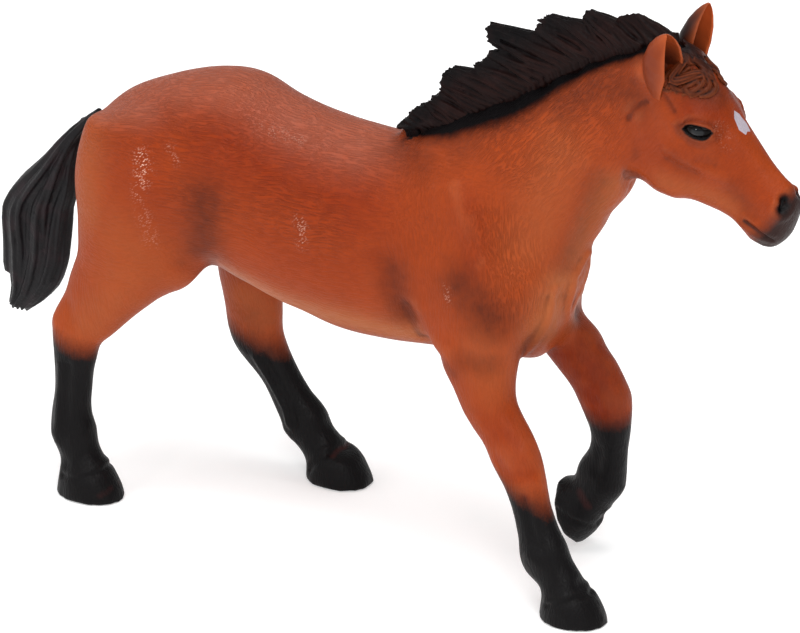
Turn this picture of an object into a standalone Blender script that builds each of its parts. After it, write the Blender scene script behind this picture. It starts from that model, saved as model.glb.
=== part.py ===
"""A toy horse in solid PVC, walking: the moulded pieces that plug together.

Metres, +Z up, +X toward the head, +Y the horse's left. The soles stand on Z = 0 and the box round the whole
figure is centred on X = 0 and Y = 0. The body's forms are lofts and bulges in one skin, as a sculptor blocks a
figure out. The skin is then parted where the moulds part it, and every piece gets its peg and its socket.
"""

import collections
import math

import bmesh
import bpy
import numpy as np
from mathutils import Matrix, Vector

# Sizes of the trunk
BARREL_LENGTH = 0.0600
BARREL_DEPTH = 0.0246
BARREL_WIDTH = 0.0186
BELLY_HEIGHT = 0.0237

# Sizes of the neck and the head
NECK_REACH = 0.0215
NECK_RISE = 0.0190
NECK_DEPTH = 0.0148
NECK_WIDTH = 0.0084
HEAD_LENGTH = 0.0238
HEAD_DEPTH = 0.0134
HEAD_WIDTH = 0.0086
HEAD_TILT = math.radians(46.5)
EAR_LENGTH = 0.0067
EAR_WIDTH = 0.0044

# Sizes of the legs
HIP_HALF_WIDTH = 0.0043
SHOULDER_HALF_WIDTH = 0.0045
HIND_HALF_STANCE = 0.0083
FORE_HALF_STANCE = 0.0090
RAISED_HALF_STANCE = 0.0065
HIND_CANNON = 0.0045
FORE_CANNON = 0.0042
HOOF_LENGTH = 0.0083
HOOF_WIDTH = 0.0066
HOOF_HEIGHT = 0.0036

# Where the feet stand, forward of the point of the buttock
RIGHT_HIND_STEP = 0.0042
LEFT_HIND_STEP = 0.0258
RIGHT_FORE_STEP = 0.0651

# Sizes of the hair
MANE_HEIGHT = 0.0088
MANE_THICKNESS = 0.0034
TAIL_DROP = 0.0257
TAIL_REACH = 0.0116
TAIL_DEPTH = 0.0090
TAIL_THICKNESS = 0.0050
MANE_LOCK_THICKNESS = 0.0026
FORELOCK_THICKNESS = 0.0019

# How the pieces plug together
CLEARANCE = 0.0003
PEG_LENGTH = 0.0042
PEG_WIDTH = 0.0034
HIND_PEG_DEPTH = 0.0050
FORE_PEG_DEPTH = 0.0034
PEG_ROUNDING = 0.0006
TENON_LENGTH = 0.0055
TENON_WIDTH = 0.0060
TENON_DEPTH = 0.0100

# Fineness of the skins, and how evenly and how lightly they are drawn
GRAIN = 0.0006
SEAT_GRAIN = 0.00036
TAIL_GRAIN = 0.00048
MANE_GRAIN = 0.00042
FORELOCK_GRAIN = 0.00036
SIDES = 20
STEPS = 4
EAR_STEPS = 2
BODY_ROUNDS = 90
HAIR_ROUNDS = 4
EVEN_SHARES = (0.55, -0.50)
BODY_FACES_SHARE = 0.128
SEAT_FACES_SHARE = 0.09
MANE_FACES_SHARE = 0.17
TAIL_FACES_SHARE = 0.19
FORELOCK_FACES_SHARE = 0.20
FAR = 0.2

# The barrel, from buttock to breast: forward, bottom, top and half width, in shares of its length, depth, width
WIDEST_SHARE = 0.47
BARREL_SHARES = (
    (0.000, 0.44, 0.60, 0.13),
    (0.013, 0.30, 0.72, 0.25),
    (0.067, 0.215, 0.874, 0.37),
    (0.150, 0.155, 0.985, 0.453),
    (0.233, 0.134, 1.060, 0.495),
    (0.317, 0.134, 1.090, 0.490),
    (0.383, 0.090, 1.040, 0.473),
    (0.467, 0.030, 0.993, 0.490),
    (0.567, 0.004, 0.972, 0.505),
    (0.667, 0.012, 0.978, 0.490),
    (0.767, 0.037, 0.995, 0.450),
    (0.867, 0.045, 0.940, 0.400),
    (0.950, 0.135, 0.800, 0.310),
    (1.000, 0.380, 0.660, 0.160),
)

# The neck, from the chest to the poll: forward, up, half width, above and below, as shares of reach, rise,
# width and depth. It starts at a place in shares of the barrel
NECK_BASE_SHARES = (0.833, 0.0, 0.703)
POLL_SHARES = (1.014, 1.30)
NECK_SHARES = (
    (-0.28, -0.30, 0.80, 0.62, 0.56),
    (0.00, 0.00, 0.82, 0.82, 0.86),
    (0.20, 0.27, 0.68, 0.70, 0.69),
    (0.39, 0.48, 0.57, 0.585, 0.575),
    (0.62, 0.71, 0.50, 0.525, 0.515),
    (0.83, 0.91, 0.47, 0.48, 0.47),
    (1.00, 1.00, 0.45, 0.40, 0.42),
)

# The head, from the poll to the lips: along, half width, above and below, as shares of length, width and depth
HEAD_CORE_SHARE = -0.22
HEAD_SHARES = (
    (-0.08, 0.30, 0.20, 0.20),
    (0.00, 0.38, 0.30, 0.64),
    (0.12, 0.42, 0.385, 0.76),
    (0.25, 0.455, 0.415, 0.765),
    (0.38, 0.475, 0.400, 0.730),
    (0.50, 0.420, 0.360, 0.630),
    (0.63, 0.345, 0.350, 0.450),
    (0.75, 0.285, 0.350, 0.300),
    (0.85, 0.300, 0.360, 0.240),
    (0.925, 0.300, 0.300, 0.228),
    (0.975, 0.240, 0.130, 0.205),
    (1.000, 0.140, 0.030, 0.120),
)

# Where the legs grow out of the barrel: forward and up, in shares of it
RIGHT_HIND_ROOT_SHARES = (0.158, 0.785)
LEFT_HIND_ROOT_SHARES = (0.208, 0.785)
RIGHT_FORE_ROOT_SHARES = (0.842, 0.581)
RAISED_ROOT_SHARES = (0.875, 0.581)

# A leg, from its root to the coronet: height and bow as shares of the leg's height, then half width, front and
# back as shares of the cannon's thickness
RIGHT_HIND_SHARES = (
    (1.000, 0.000, 0.75, 1.55, 1.75),
    (0.860, 0.000, 0.98, 1.80, 1.80),
    (0.733, 0.010, 0.96, 1.48, 1.54),
    (0.633, 0.009, 0.84, 1.06, 1.47),
    (0.553, -0.035, 0.67, 0.86, 1.18),
    (0.498, -0.065, 0.55, 0.76, 0.95),
    (0.437, -0.097, 0.49, 0.63, 0.79),
    (0.363, -0.099, 0.43, 0.56, 0.58),
    (0.279, -0.091, 0.39, 0.49, 0.49),
    (0.214, -0.085, 0.42, 0.52, 0.54),
    (0.167, -0.072, 0.51, 0.60, 0.62),
    (0.109, -0.044, 0.46, 0.51, 0.52),
    (0.070, -0.020, 0.50, 0.56, 0.56),
)
LEFT_HIND_SHARES = (
    (1.000, 0.000, 0.75, 1.55, 1.75),
    (0.837, -0.027, 0.92, 1.70, 1.80),
    (0.698, -0.023, 0.88, 1.58, 1.50),
    (0.605, -0.050, 0.73, 1.25, 1.10),
    (0.530, -0.077, 0.60, 0.92, 0.84),
    (0.437, -0.093, 0.50, 0.74, 0.84),
    (0.358, -0.104, 0.44, 0.60, 0.86),
    (0.270, -0.088, 0.40, 0.52, 0.52),
    (0.195, -0.069, 0.43, 0.54, 0.54),
    (0.147, -0.050, 0.51, 0.63, 0.61),
    (0.102, -0.034, 0.46, 0.52, 0.52),
    (0.070, -0.008, 0.50, 0.56, 0.56),
)
RIGHT_FORE_SHARES = (
    (1.000, 0.000, 0.74, 1.55, 1.50),
    (0.895, -0.037, 0.85, 1.60, 1.48),
    (0.776, -0.073, 0.84, 1.45, 1.27),
    (0.668, -0.075, 0.73, 1.05, 1.00),
    (0.579, -0.072, 0.63, 0.68, 0.84),
    (0.505, -0.050, 0.56, 0.70, 0.67),
    (0.455, -0.043, 0.55, 0.78, 0.67),
    (0.392, -0.031, 0.49, 0.68, 0.60),
    (0.316, -0.034, 0.44, 0.61, 0.50),
    (0.237, -0.035, 0.45, 0.66, 0.55),
    (0.171, -0.032, 0.55, 0.76, 0.71),
    (0.124, -0.005, 0.49, 0.56, 0.55),
    (0.088, 0.012, 0.54, 0.58, 0.58),
)
RAISED_FORE_SHARES = (
    (1.000, 0.000, 0.74, 1.45, 1.50),
    (0.895, 0.008, 0.82, 1.15, 1.48),
    (0.776, 0.045, 0.81, 0.83, 1.12),
    (0.679, 0.105, 0.71, 0.83, 0.88),
    (0.611, 0.150, 0.64, 0.79, 0.76),
    (0.558, 0.183, 0.58, 0.79, 0.70),
    (0.489, 0.213, 0.56, 0.74, 0.71),
    (0.421, 0.224, 0.50, 0.61, 0.57),
    (0.358, 0.224, 0.44, 0.51, 0.55),
    (0.300, 0.216, 0.45, 0.55, 0.67),
    (0.245, 0.195, 0.54, 0.71, 0.76),
    (0.189, 0.174, 0.49, 0.55, 0.60),
    (0.150, 0.162, 0.46, 0.48, 0.48),
)

SPREAD_POWER = 1.6

# How firmly the skin is evened out, and where the firm trunk gives way to the fine lower legs and head
FINE_SHARE = 0.18
LEG_FADE_SHARES = (0.70, 0.50)
HEAD_FADE_SHARES = (0.10, 0.40)

# A hoof, from the coronet to below the sole: down, slope, half width, toe and heel, as shares of its height,
# length and width
HOOF_SHARES = (
    (0.00, -0.075, 0.40, 0.34, 0.34),
    (0.12, -0.070, 0.425, 0.37, 0.36),
    (0.50, -0.030, 0.465, 0.435, 0.42),
    (1.00, 0.000, 0.50, 0.50, 0.48),
    (1.20, 0.010, 0.50, 0.50, 0.48),
)
RAISED_HOOF_PLACE_SHARES = (0.082, 0.115)
RAISED_HOOF_PITCH = math.radians(71.0)

# Swells on both sides of the trunk: place in shares of the barrel, radii in shares of its depth, and degrees
TRUNK_SWELL_SHARES = (
    ((0.790, 0.255, 0.66), (0.28, 0.115, 0.36), 34.0),
    ((0.925, 0.205, 0.50), (0.13, 0.110, 0.17), 0.0),
    ((0.945, 0.110, 0.40), (0.12, 0.120, 0.22), -10.0),
    ((0.165, 0.245, 0.58), (0.34, 0.200, 0.34), 20.0),
    ((0.090, 0.200, 0.46), (0.14, 0.140, 0.24), -8.0),
)

# Cheek, brow, nostril rim and chin: place and radii in shares of the head's length, width and depth
HEAD_SWELL_SHARES = (
    ((0.34, 0.26, -0.50), (0.25, 0.16, 0.32)),
    ((0.37, 0.37, -0.04), (0.12, 0.13, 0.10)),
    ((0.86, 0.24, -0.02), (0.07, 0.10, 0.12)),
    ((0.92, 0.08, -0.38), (0.09, 0.14, 0.10)),
)

# The mane's root along the crest: forward and up in shares of the neck, then height, half thickness and tongue
MANE_CREST_SHARES = (
    (-0.60, 0.378, 0.02, 0.10, 0.12),
    (-0.48, 0.430, 0.12, 0.28, 0.30),
    (-0.33, 0.540, 0.26, 0.42, 0.50),
    (-0.12, 0.680, 0.36, 0.50, 0.55),
    (0.25, 0.900, 0.42, 0.50, 0.55),
    (0.60, 1.148, 0.40, 0.48, 0.55),
    (0.84, 1.300, 0.30, 0.42, 0.50),
    (0.985, 1.335, 0.16, 0.30, 0.40),
)

# Its locks: root and tip in shares of the neck, then the bend
MANE_LOCK_SHARES = (
    (-0.42, 0.470, -0.495, 0.545, 0.20),
    (-0.28, 0.560, -0.345, 0.790, 0.50),
    (-0.12, 0.660, -0.285, 0.905, 0.70),
    (0.00, 0.730, -0.110, 0.985, 0.62),
    (0.14, 0.820, -0.085, 1.215, 0.90),
    (0.26, 0.900, 0.090, 1.180, 0.62),
    (0.38, 0.990, 0.210, 1.290, 0.70),
    (0.50, 1.070, 0.325, 1.375, 0.76),
    (0.62, 1.140, 0.485, 1.445, 0.70),
    (0.76, 1.230, 0.665, 1.475, 0.60),
    (0.90, 1.290, 0.820, 1.495, 0.50),
)

# The tail: back, down, half depth and half thickness in shares of its reach, drop, depth and thickness. Its
# root is a place in shares of the barrel
TAIL_ROOT_SHARES = (0.020, 0.0, 0.690)
TAIL_SHARES = (
    (-0.36, 0.00, 0.15, 0.26),
    (-0.06, 0.00, 0.16, 0.29),
    (0.14, 0.055, 0.18, 0.30),
    (0.36, 0.18, 0.25, 0.38),
    (0.53, 0.32, 0.36, 0.44),
    (0.66, 0.47, 0.46, 0.48),
    (0.71, 0.63, 0.49, 0.46),
    (0.73, 0.78, 0.45, 0.40),
    (0.83, 0.91, 0.28, 0.28),
    (0.95, 1.00, 0.07, 0.10),
)

# The forelock's locks on each side of the head: root and tip in shares of the head
FORELOCK_SHARES = (
    ((0.03, 0.02, 0.05), (0.34, 0.04, 0.205)),
    ((0.04, 0.10, 0.05), (0.31, 0.23, 0.160)),
    ((0.06, 0.13, 0.05), (0.27, 0.33, 0.100)),
    ((0.12, 0.12, 0.04), (0.235, 0.39, 0.035)),
)

# An ear, from its plug to its tip: along, outward, half width, front and back in shares of its length and
# width; then the hollow that is scooped from it
EAR_PLACE_SHARES = (0.100, 0.335, -0.030)
EAR_LEAN_SHARES = (0.115, 0.26, 0.96)
EAR_SHARES = (
    (-0.30, -0.42, 0.22, 0.24, 0.24),
    (-0.12, -0.24, 0.26, 0.26, 0.26),
    (0.04, -0.05, 0.36, 0.36, 0.36),
    (0.24, 0.00, 0.48, 0.45, 0.48),
    (0.48, 0.00, 0.47, 0.40, 0.46),
    (0.72, 0.00, 0.34, 0.28, 0.34),
    (0.90, 0.00, 0.17, 0.13, 0.17),
    (1.00, 0.00, 0.04, 0.03, 0.05),
)
EAR_HOLLOW_SHARES = (
    (0.10, 0.00, 0.06, 0.10, 0.06),
    (0.24, 0.00, 0.33, 0.50, 0.42),
    (0.48, 0.00, 0.34, 0.46, 0.40),
    (0.72, 0.00, 0.22, 0.34, 0.27),
    (0.90, 0.00, 0.07, 0.12, 0.10),
)
EAR_HOLLOW_OFFSET_SHARE = 0.22
EAR_TURN = math.radians(25.0)

MANE_SPREAD_SHARE = 0.16
MANE_SWEEP_SHARE = 0.12
FORELOCK_SWEEP_SHARE = 0.20

# A lock of hair, from root to tip: half width and half depth in shares of its thickness
LOCK_TAPER_SHARES = ((0.50, 0.80), (0.46, 0.76), (0.38, 0.62), (0.26, 0.40), (0.08, 0.10))

# The parting planes: a point in shares of the barrel, and the stretch of the barrel that each is kept to
NECK_SEAM_SHARES = (0.708, 0.0, 1.09)
HIND_SEAM_SHARES = (0.135, 0.0, 0.125)
FORE_SEAM_SHARES = (0.800, 0.0, -0.010)
WHOLE_ZONE_SHARES = (-2.00, 3.00)
HIND_ZONE_SHARES = (-0.50, 0.52)
FORE_ZONE_SHARES = (0.745, 1.80)
NECK_SEAM_PITCH = math.radians(37.4)
HIND_SEAM_PITCH = math.radians(11.0)
FORE_SEAM_PITCH = math.radians(-14.0)

HIND_SEAM = (HIND_SEAM_SHARES, HIND_SEAM_PITCH, HIND_ZONE_SHARES, HIND_PEG_DEPTH)
FORE_SEAM = (FORE_SEAM_SHARES, FORE_SEAM_PITCH, FORE_ZONE_SHARES, FORE_PEG_DEPTH)

COAT = (0.36, 0.095, 0.040)
BLACK = (0.020, 0.017, 0.018)
SHEEN = 0.45


def barrel_point(forward, side, up):
    """A place in shares of the barrel's length, width and depth."""
    return Vector((forward * BARREL_LENGTH, side * BARREL_WIDTH, BELLY_HEIGHT + up * BARREL_DEPTH))


NECK_BASE = barrel_point(*NECK_BASE_SHARES)
POLL = NECK_BASE + Vector((POLL_SHARES[0] * NECK_REACH, 0.0, POLL_SHARES[1] * NECK_RISE))
FACE_ALONG = Vector((math.cos(HEAD_TILT), 0.0, -math.sin(HEAD_TILT)))
FACE_UP = Vector((math.sin(HEAD_TILT), 0.0, math.cos(HEAD_TILT)))


def head_point(along, side, up):
    """A place in shares of the head's length, width and depth, from the poll down the face."""
    across = Vector((0.0, side * HEAD_WIDTH, 0.0))
    return POLL + FACE_ALONG * along * HEAD_LENGTH + across + FACE_UP * up * HEAD_DEPTH


# Building blocks

def smooth_rows(rows, steps):
    """Rows of numbers read off a smooth curve through the given ones."""
    table = np.array(rows, dtype=float)
    before = np.vstack([2 * table[0] - table[1], table, 2 * table[-1] - table[-2]])
    found = []
    for index in range(len(table) - 1):
        a, b, c, d = before[index : index + 4]
        for step in range(steps):
            t = step / steps
            bend = (2 * a - 5 * b + 4 * c - d) * t**2
            twist = (3 * b - 3 * c + d - a) * t**3
            found.append((2 * b + (c - a) * t + bend + twist) / 2)
    found.append(table[-1])
    return np.array(found)


def loft(skin, rows, heading=None, steps=STEPS):
    """Adds a closed tube. A row is a centre, then its half width, front and back. Its sections stand square to
    the path, or to the heading if there is one."""
    table = smooth_rows([tuple(centre) + tuple(sizes) for centre, *sizes in rows], steps)
    path = table[:, :3]
    ways = np.gradient(path, axis=0)
    rings = []
    for centre, way, (half, front, back) in zip(path, ways, table[:, 3:6]):
        way = heading or Vector(way).normalized()
        side = (Vector((0.0, 1.0, 0.0)) - way * way.y).normalized()
        up = way.cross(side)
        ring = []
        for index in range(SIDES):
            turn = math.tau * index / SIDES
            rise = max(front if math.sin(turn) > 0 else back, 0.0)
            place = Vector(centre) + side * half * math.cos(turn) + up * rise * math.sin(turn)
            ring.append(skin.verts.new(place))
        rings.append(ring)
    for lower, upper in zip(rings, rings[1:]):
        for index in range(SIDES):
            after = (index + 1) % SIDES
            skin.faces.new((lower[index], lower[after], upper[after], upper[index]))
    skin.faces.new(list(reversed(rings[0])))
    skin.faces.new(rings[-1])


def lock(skin, root, tip, thickness, sweep):
    """Adds one tapered lock of hair, bent by the sweep at half way."""
    middle = (root + tip) / 2 + sweep
    path = (root, (root + middle) / 2 + sweep / 4, middle, (middle + tip) / 2 + sweep / 4, tip)
    rows = []
    for centre, (half, depth) in zip(path, LOCK_TAPER_SHARES):
        rows.append((centre, half * thickness, depth * thickness, depth * thickness))
    loft(skin, rows)


def swell(skin, centre, radii, pitch):
    """Adds an egg, pitched nose down by the given angle."""
    sizes = Matrix.Diagonal((*radii, 1.0))
    matrix = Matrix.Translation(centre) @ Matrix.Rotation(pitch, 4, "Y") @ sizes
    bmesh.ops.create_uvsphere(skin, u_segments=SIDES, v_segments=SIDES // 2, radius=1.0, matrix=matrix)


def object_from(name, skin, collection):
    mesh = bpy.data.meshes.new(name)
    bmesh.ops.recalc_face_normals(skin, faces=skin.faces)
    skin.to_mesh(mesh)
    skin.free()
    made = bpy.data.objects.new(name, mesh)
    collection.objects.link(made)
    return made


def settle(target):
    """Replaces an object's mesh with what its modifiers make of it."""
    graph = bpy.context.evaluated_depsgraph_get()
    mesh = bpy.data.meshes.new_from_object(target.evaluated_get(graph))
    old = target.data
    target.modifiers.clear()
    target.data = mesh
    bpy.data.meshes.remove(old)


def fuse(target, grain):
    """One closed skin over all the forms in an object."""
    remesh = target.modifiers.new("fuse", "REMESH")
    remesh.mode = "VOXEL"
    remesh.voxel_size = grain
    settle(target)


def thin(target, share):
    """Fewer faces, where the skin bends least."""
    decimate = target.modifiers.new("thin", "DECIMATE")
    decimate.ratio = share
    decimate.use_collapse_triangulate = True
    settle(target)


def relax(target, rounds, weight_of=None):
    """Evens the skin out without shrinking it: each round moves the points in, then nearly as far out."""
    mesh = target.data
    count = len(mesh.vertices)
    points = np.empty(count * 3)
    mesh.vertices.foreach_get("co", points)
    points = points.reshape(-1, 3)
    edges = np.empty(len(mesh.edges) * 2, dtype=np.int32)
    mesh.edges.foreach_get("vertices", edges)
    starts, ends = edges.reshape(-1, 2).T
    valence = np.bincount(np.concatenate([starts, ends]), minlength=count)[:, None]
    weight = np.ones((count, 1)) if weight_of is None else weight_of(points)[:, None]
    for push in EVEN_SHARES * rounds:
        total = np.empty_like(points)
        for axis in range(3):
            total[:, axis] = np.bincount(starts, points[ends, axis], count)
            total[:, axis] += np.bincount(ends, points[starts, axis], count)
        points += push * weight * (total / valence - points)
    mesh.vertices.foreach_set("co", points.ravel())
    mesh.update()


def combine(target, other, operation):
    """Joins, cuts or keeps what two closed solids share."""
    boolean = target.modifiers.new(operation.lower(), "BOOLEAN")
    boolean.object = other
    boolean.operation = operation
    settle(target)


def copy_of(source, name, collection):
    made = bpy.data.objects.new(name, source.data.copy())
    collection.objects.link(made)
    return made


def grown(source, name, cutters):
    """The room that a piece needs: its shape with the clearance all round."""
    cutter = copy_of(source, name, cutters)
    normals = [vertex.normal.copy() for vertex in cutter.data.vertices]
    for vertex, normal in zip(cutter.data.vertices, normals):
        vertex.co += normal * CLEARANCE
    fuse(cutter, SEAT_GRAIN)
    thin(cutter, SEAT_FACES_SHARE)
    return cutter


def block(name, corner, far_corner, collection):
    """A box between two corners."""
    skin = bmesh.new()
    middle = (corner + far_corner) / 2
    sizes = Matrix.Diagonal((*(far_corner - corner), 1.0))
    bmesh.ops.create_cube(skin, size=1.0, matrix=Matrix.Translation(middle) @ sizes)
    return object_from(name, skin, collection)


# The forms of the body

def add_barrel(skin):
    rows = []
    for forward, bottom, top, half in BARREL_SHARES:
        widest = bottom + WIDEST_SHARE * (top - bottom)
        above = (top - widest) * BARREL_DEPTH
        below = (widest - bottom) * BARREL_DEPTH
        rows.append((barrel_point(forward, 0.0, widest), half * BARREL_WIDTH, above, below))
    loft(skin, rows, heading=Vector((1.0, 0.0, 0.0)))
    for (forward, out, up), shares, pitch in TRUNK_SWELL_SHARES:
        radii = [share * BARREL_DEPTH for share in shares]
        for side in (-1.0, 1.0):
            swell(skin, barrel_point(forward, side * out, up), radii, math.radians(pitch))


def add_neck(skin):
    rows = []
    for forward, up, half, above, below in NECK_SHARES:
        centre = NECK_BASE + Vector((forward * NECK_REACH, 0.0, up * NECK_RISE))
        rows.append((centre, half * NECK_WIDTH, above * NECK_DEPTH, below * NECK_DEPTH))
    loft(skin, rows)


def add_head(skin):
    rows = []
    for along, half, above, below in HEAD_SHARES:
        centre = head_point(along, 0.0, HEAD_CORE_SHARE)
        rows.append((centre, half * HEAD_WIDTH, above * HEAD_DEPTH, below * HEAD_DEPTH))
    loft(skin, rows, heading=FACE_ALONG)
    for (along, out, up), (length, width, depth) in HEAD_SWELL_SHARES:
        radii = (length * HEAD_LENGTH, width * HEAD_WIDTH, depth * HEAD_DEPTH)
        for side in (-1.0, 1.0):
            swell(skin, head_point(along, side * out, up), radii, HEAD_TILT)


def leg_rows(leg):
    rows = []
    for height, bow, half, front, back in leg.shares:
        forward = leg.step + (leg.root.x - leg.step) * height + bow * leg.root.z
        out = leg.stance - (leg.stance - abs(leg.root.y)) * height**SPREAD_POWER
        centre = Vector((forward, math.copysign(out, leg.root.y), height * leg.root.z))
        rows.append((centre, half * leg.cannon, front * leg.cannon, back * leg.cannon))
    return rows


def add_hoof(skin, sole, pitch, shares):
    """A hoof whose sole is centred on a point, pitched back from standing by an angle."""
    turn = Matrix.Rotation(pitch, 3, "Y")
    rows = []
    for down, slope, half, toe, heel in shares:
        centre = sole + turn @ Vector((slope * HOOF_LENGTH, 0.0, (1.0 - down) * HOOF_HEIGHT))
        rows.append((centre, half * HOOF_WIDTH, toe * HOOF_LENGTH, heel * HOOF_LENGTH))
    loft(skin, rows, heading=turn @ Vector((0.0, 0.0, -1.0)))


def leg_root(place, half_width):
    forward, up = place
    return barrel_point(forward, half_width / BARREL_WIDTH, up)


Leg = collections.namedtuple("Leg", "name shares root step stance cannon")
RIGHT_HIND_ROOT = leg_root(RIGHT_HIND_ROOT_SHARES, -HIP_HALF_WIDTH)
LEFT_HIND_ROOT = leg_root(LEFT_HIND_ROOT_SHARES, HIP_HALF_WIDTH)
RIGHT_FORE_ROOT = leg_root(RIGHT_FORE_ROOT_SHARES, -SHOULDER_HALF_WIDTH)
RAISED_ROOT = leg_root(RAISED_ROOT_SHARES, SHOULDER_HALF_WIDTH)
HIND = (HIND_HALF_STANCE, HIND_CANNON)
FORE = (FORE_HALF_STANCE, FORE_CANNON)
RAISED = (RAISED_HALF_STANCE, FORE_CANNON)
LEGS = (
    Leg("right_hind_leg", RIGHT_HIND_SHARES, RIGHT_HIND_ROOT, RIGHT_HIND_STEP, *HIND),
    Leg("left_hind_leg", LEFT_HIND_SHARES, LEFT_HIND_ROOT, LEFT_HIND_STEP, *HIND),
    Leg("right_foreleg", RIGHT_FORE_SHARES, RIGHT_FORE_ROOT, RIGHT_FORE_STEP, *FORE),
    Leg("left_foreleg", RAISED_FORE_SHARES, RAISED_ROOT, RAISED_ROOT.x, *RAISED),
)


def add_legs(skin):
    for leg in LEGS:
        loft(skin, leg_rows(leg))
        if leg.root is RAISED_ROOT:
            forward, up = RAISED_HOOF_PLACE_SHARES
            sole = Vector((leg.step + forward * leg.root.z, leg.stance, up * leg.root.z))
            add_hoof(skin, sole, RAISED_HOOF_PITCH, HOOF_SHARES[:-1])
        else:
            sole = Vector((leg.step, math.copysign(leg.stance, leg.root.y), 0.0))
            add_hoof(skin, sole, 0.0, HOOF_SHARES)


def softness(points):
    """The trunk is evened out most, the head and the lower legs least."""
    low, leg_fade = LEG_FADE_SHARES
    ahead, head_fade = HEAD_FADE_SHARES
    above_legs = (points[:, 2] - low * BELLY_HEIGHT) / (leg_fade * BELLY_HEIGHT)
    behind_head = (POLL.x - ahead * HEAD_LENGTH - points[:, 0]) / (head_fade * NECK_REACH)
    trunk = np.clip(above_legs, 0.0, 1.0) * np.clip(behind_head, 0.0, 1.0)
    return FINE_SHARE + (1.0 - FINE_SHARE) * trunk


def make_body(cutters):
    skin = bmesh.new()
    add_barrel(skin)
    add_neck(skin)
    add_head(skin)
    add_legs(skin)
    body = object_from("body", skin, cutters)
    fuse(body, GRAIN)
    relax(body, BODY_ROUNDS, softness)
    thin(body, BODY_FACES_SHARE)
    floor = block("floor", Vector((-FAR, -FAR, -FAR)), Vector((FAR, FAR, 0.0)), cutters)
    combine(body, floor, "DIFFERENCE")
    return body


# Parting the body and plugging it together

def seam_block(name, seam, edge, cutters):
    """Everything on the piece's side of its parting plane, kept to its stretch of the barrel."""
    place, pitch, direction, zone, near, far = seam
    low, high = (edge, FAR) if direction > 0 else (-FAR, -edge)
    made = block(name, Vector((-FAR, near, low)), Vector((FAR, far, high)), cutters)
    made.data.transform(Matrix.Translation(barrel_point(*place)) @ Matrix.Rotation(pitch, 4, "Y"))
    rear, front = (share * BARREL_LENGTH for share in zone)
    fence = block(name + "_fence", Vector((rear, -FAR, -FAR)), Vector((front, FAR, FAR)), cutters)
    combine(made, fence, "INTERSECT")
    return made


def crossing(rows, seam):
    """The middle of a limb's section where its path passes through its parting plane."""
    place, pitch = seam[:2]
    origin = barrel_point(*place)
    normal = Vector((math.sin(pitch), 0.0, math.cos(pitch)))
    middles = [centre + Vector(((front - back) / 2, 0.0, 0.0)) for centre, _, front, back in rows]
    heights = [(middle - origin).dot(normal) for middle in middles]
    for index, (first, second) in enumerate(zip(heights, heights[1:])):
        if first * second <= 0.0:
            return middles[index].lerp(middles[index + 1], first / (first - second))
    return middles[0]


def peg(name, root, pitch, sizes, cutters, room=0.0):
    """A keyed peg, a rounded bar that stands on a parting plane, or its socket when given room."""
    length, width, depth = sizes
    near = Vector((-depth / 2 - room, -width / 2 - room, -length / 2))
    far = Vector((depth / 2 + room, width / 2 + room, length + room))
    made = block(name, near, far, cutters)
    bevel = made.modifiers.new("rounding", "BEVEL")
    bevel.width = PEG_ROUNDING
    bevel.segments = 2
    settle(made)
    made.data.transform(Matrix.Translation(root) @ Matrix.Rotation(pitch, 4, "Y"))
    return made


def part_off(name, body, torso, seam, root, pitch, sizes, collections):
    """Takes one piece with its peg out of the body, and cuts its room out of the torso."""
    parts, cutters = collections
    piece = copy_of(body, name, parts)
    combine(piece, seam_block(name + "_side", seam, CLEARANCE / 2, cutters), "INTERSECT")
    combine(piece, peg(name + "_peg", root, pitch, sizes, cutters), "UNION")
    combine(torso, seam_block(name + "_room", seam, -CLEARANCE / 2, cutters), "DIFFERENCE")
    combine(torso, peg(name + "_socket", root, pitch, sizes, cutters, CLEARANCE), "DIFFERENCE")
    return piece


def seat(insert, hosts, cutters):
    """Cuts the room for an insert's root out of the pieces that hold it."""
    cutter = grown(insert, insert.name + "_seat", cutters)
    for host in hosts:
        combine(host, cutter, "DIFFERENCE")


# Hair and ears

def crest_point(forward, up, side=0.0):
    return NECK_BASE + Vector((forward * NECK_REACH, side, up * NECK_RISE))


def make_mane(parts):
    skin = bmesh.new()
    rows = []
    for forward, up, height, half, tongue in MANE_CREST_SHARES:
        root = crest_point(forward, up)
        rows.append((root, half * MANE_THICKNESS, height * MANE_HEIGHT, tongue * MANE_THICKNESS))
    loft(skin, rows)
    for index, (forward, up, tip_forward, tip_up, bend) in enumerate(MANE_LOCK_SHARES):
        side = (-1.0) ** index * MANE_SPREAD_SHARE * MANE_THICKNESS
        sweep = Vector((-1.0, 0.0, 1.0)) * MANE_SWEEP_SHARE * bend * MANE_HEIGHT
        tip = crest_point(tip_forward, tip_up, -side)
        lock(skin, crest_point(forward, up, side), tip, MANE_LOCK_THICKNESS, sweep)
    mane = object_from("mane", skin, parts)
    fuse(mane, MANE_GRAIN)
    relax(mane, HAIR_ROUNDS)
    thin(mane, MANE_FACES_SHARE)
    return mane


def make_forelock(parts):
    skin = bmesh.new()
    sweep = FACE_UP * FORELOCK_SWEEP_SHARE * FORELOCK_THICKNESS
    for (along, out, up), (tip_along, tip_out, tip_up) in FORELOCK_SHARES:
        for side in (-1.0, 1.0):
            root = head_point(along, side * out, up)
            lock(skin, root, head_point(tip_along, side * tip_out, tip_up), FORELOCK_THICKNESS, sweep)
    forelock = object_from("forelock", skin, parts)
    fuse(forelock, FORELOCK_GRAIN)
    relax(forelock, HAIR_ROUNDS)
    thin(forelock, FORELOCK_FACES_SHARE)
    return forelock


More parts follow.
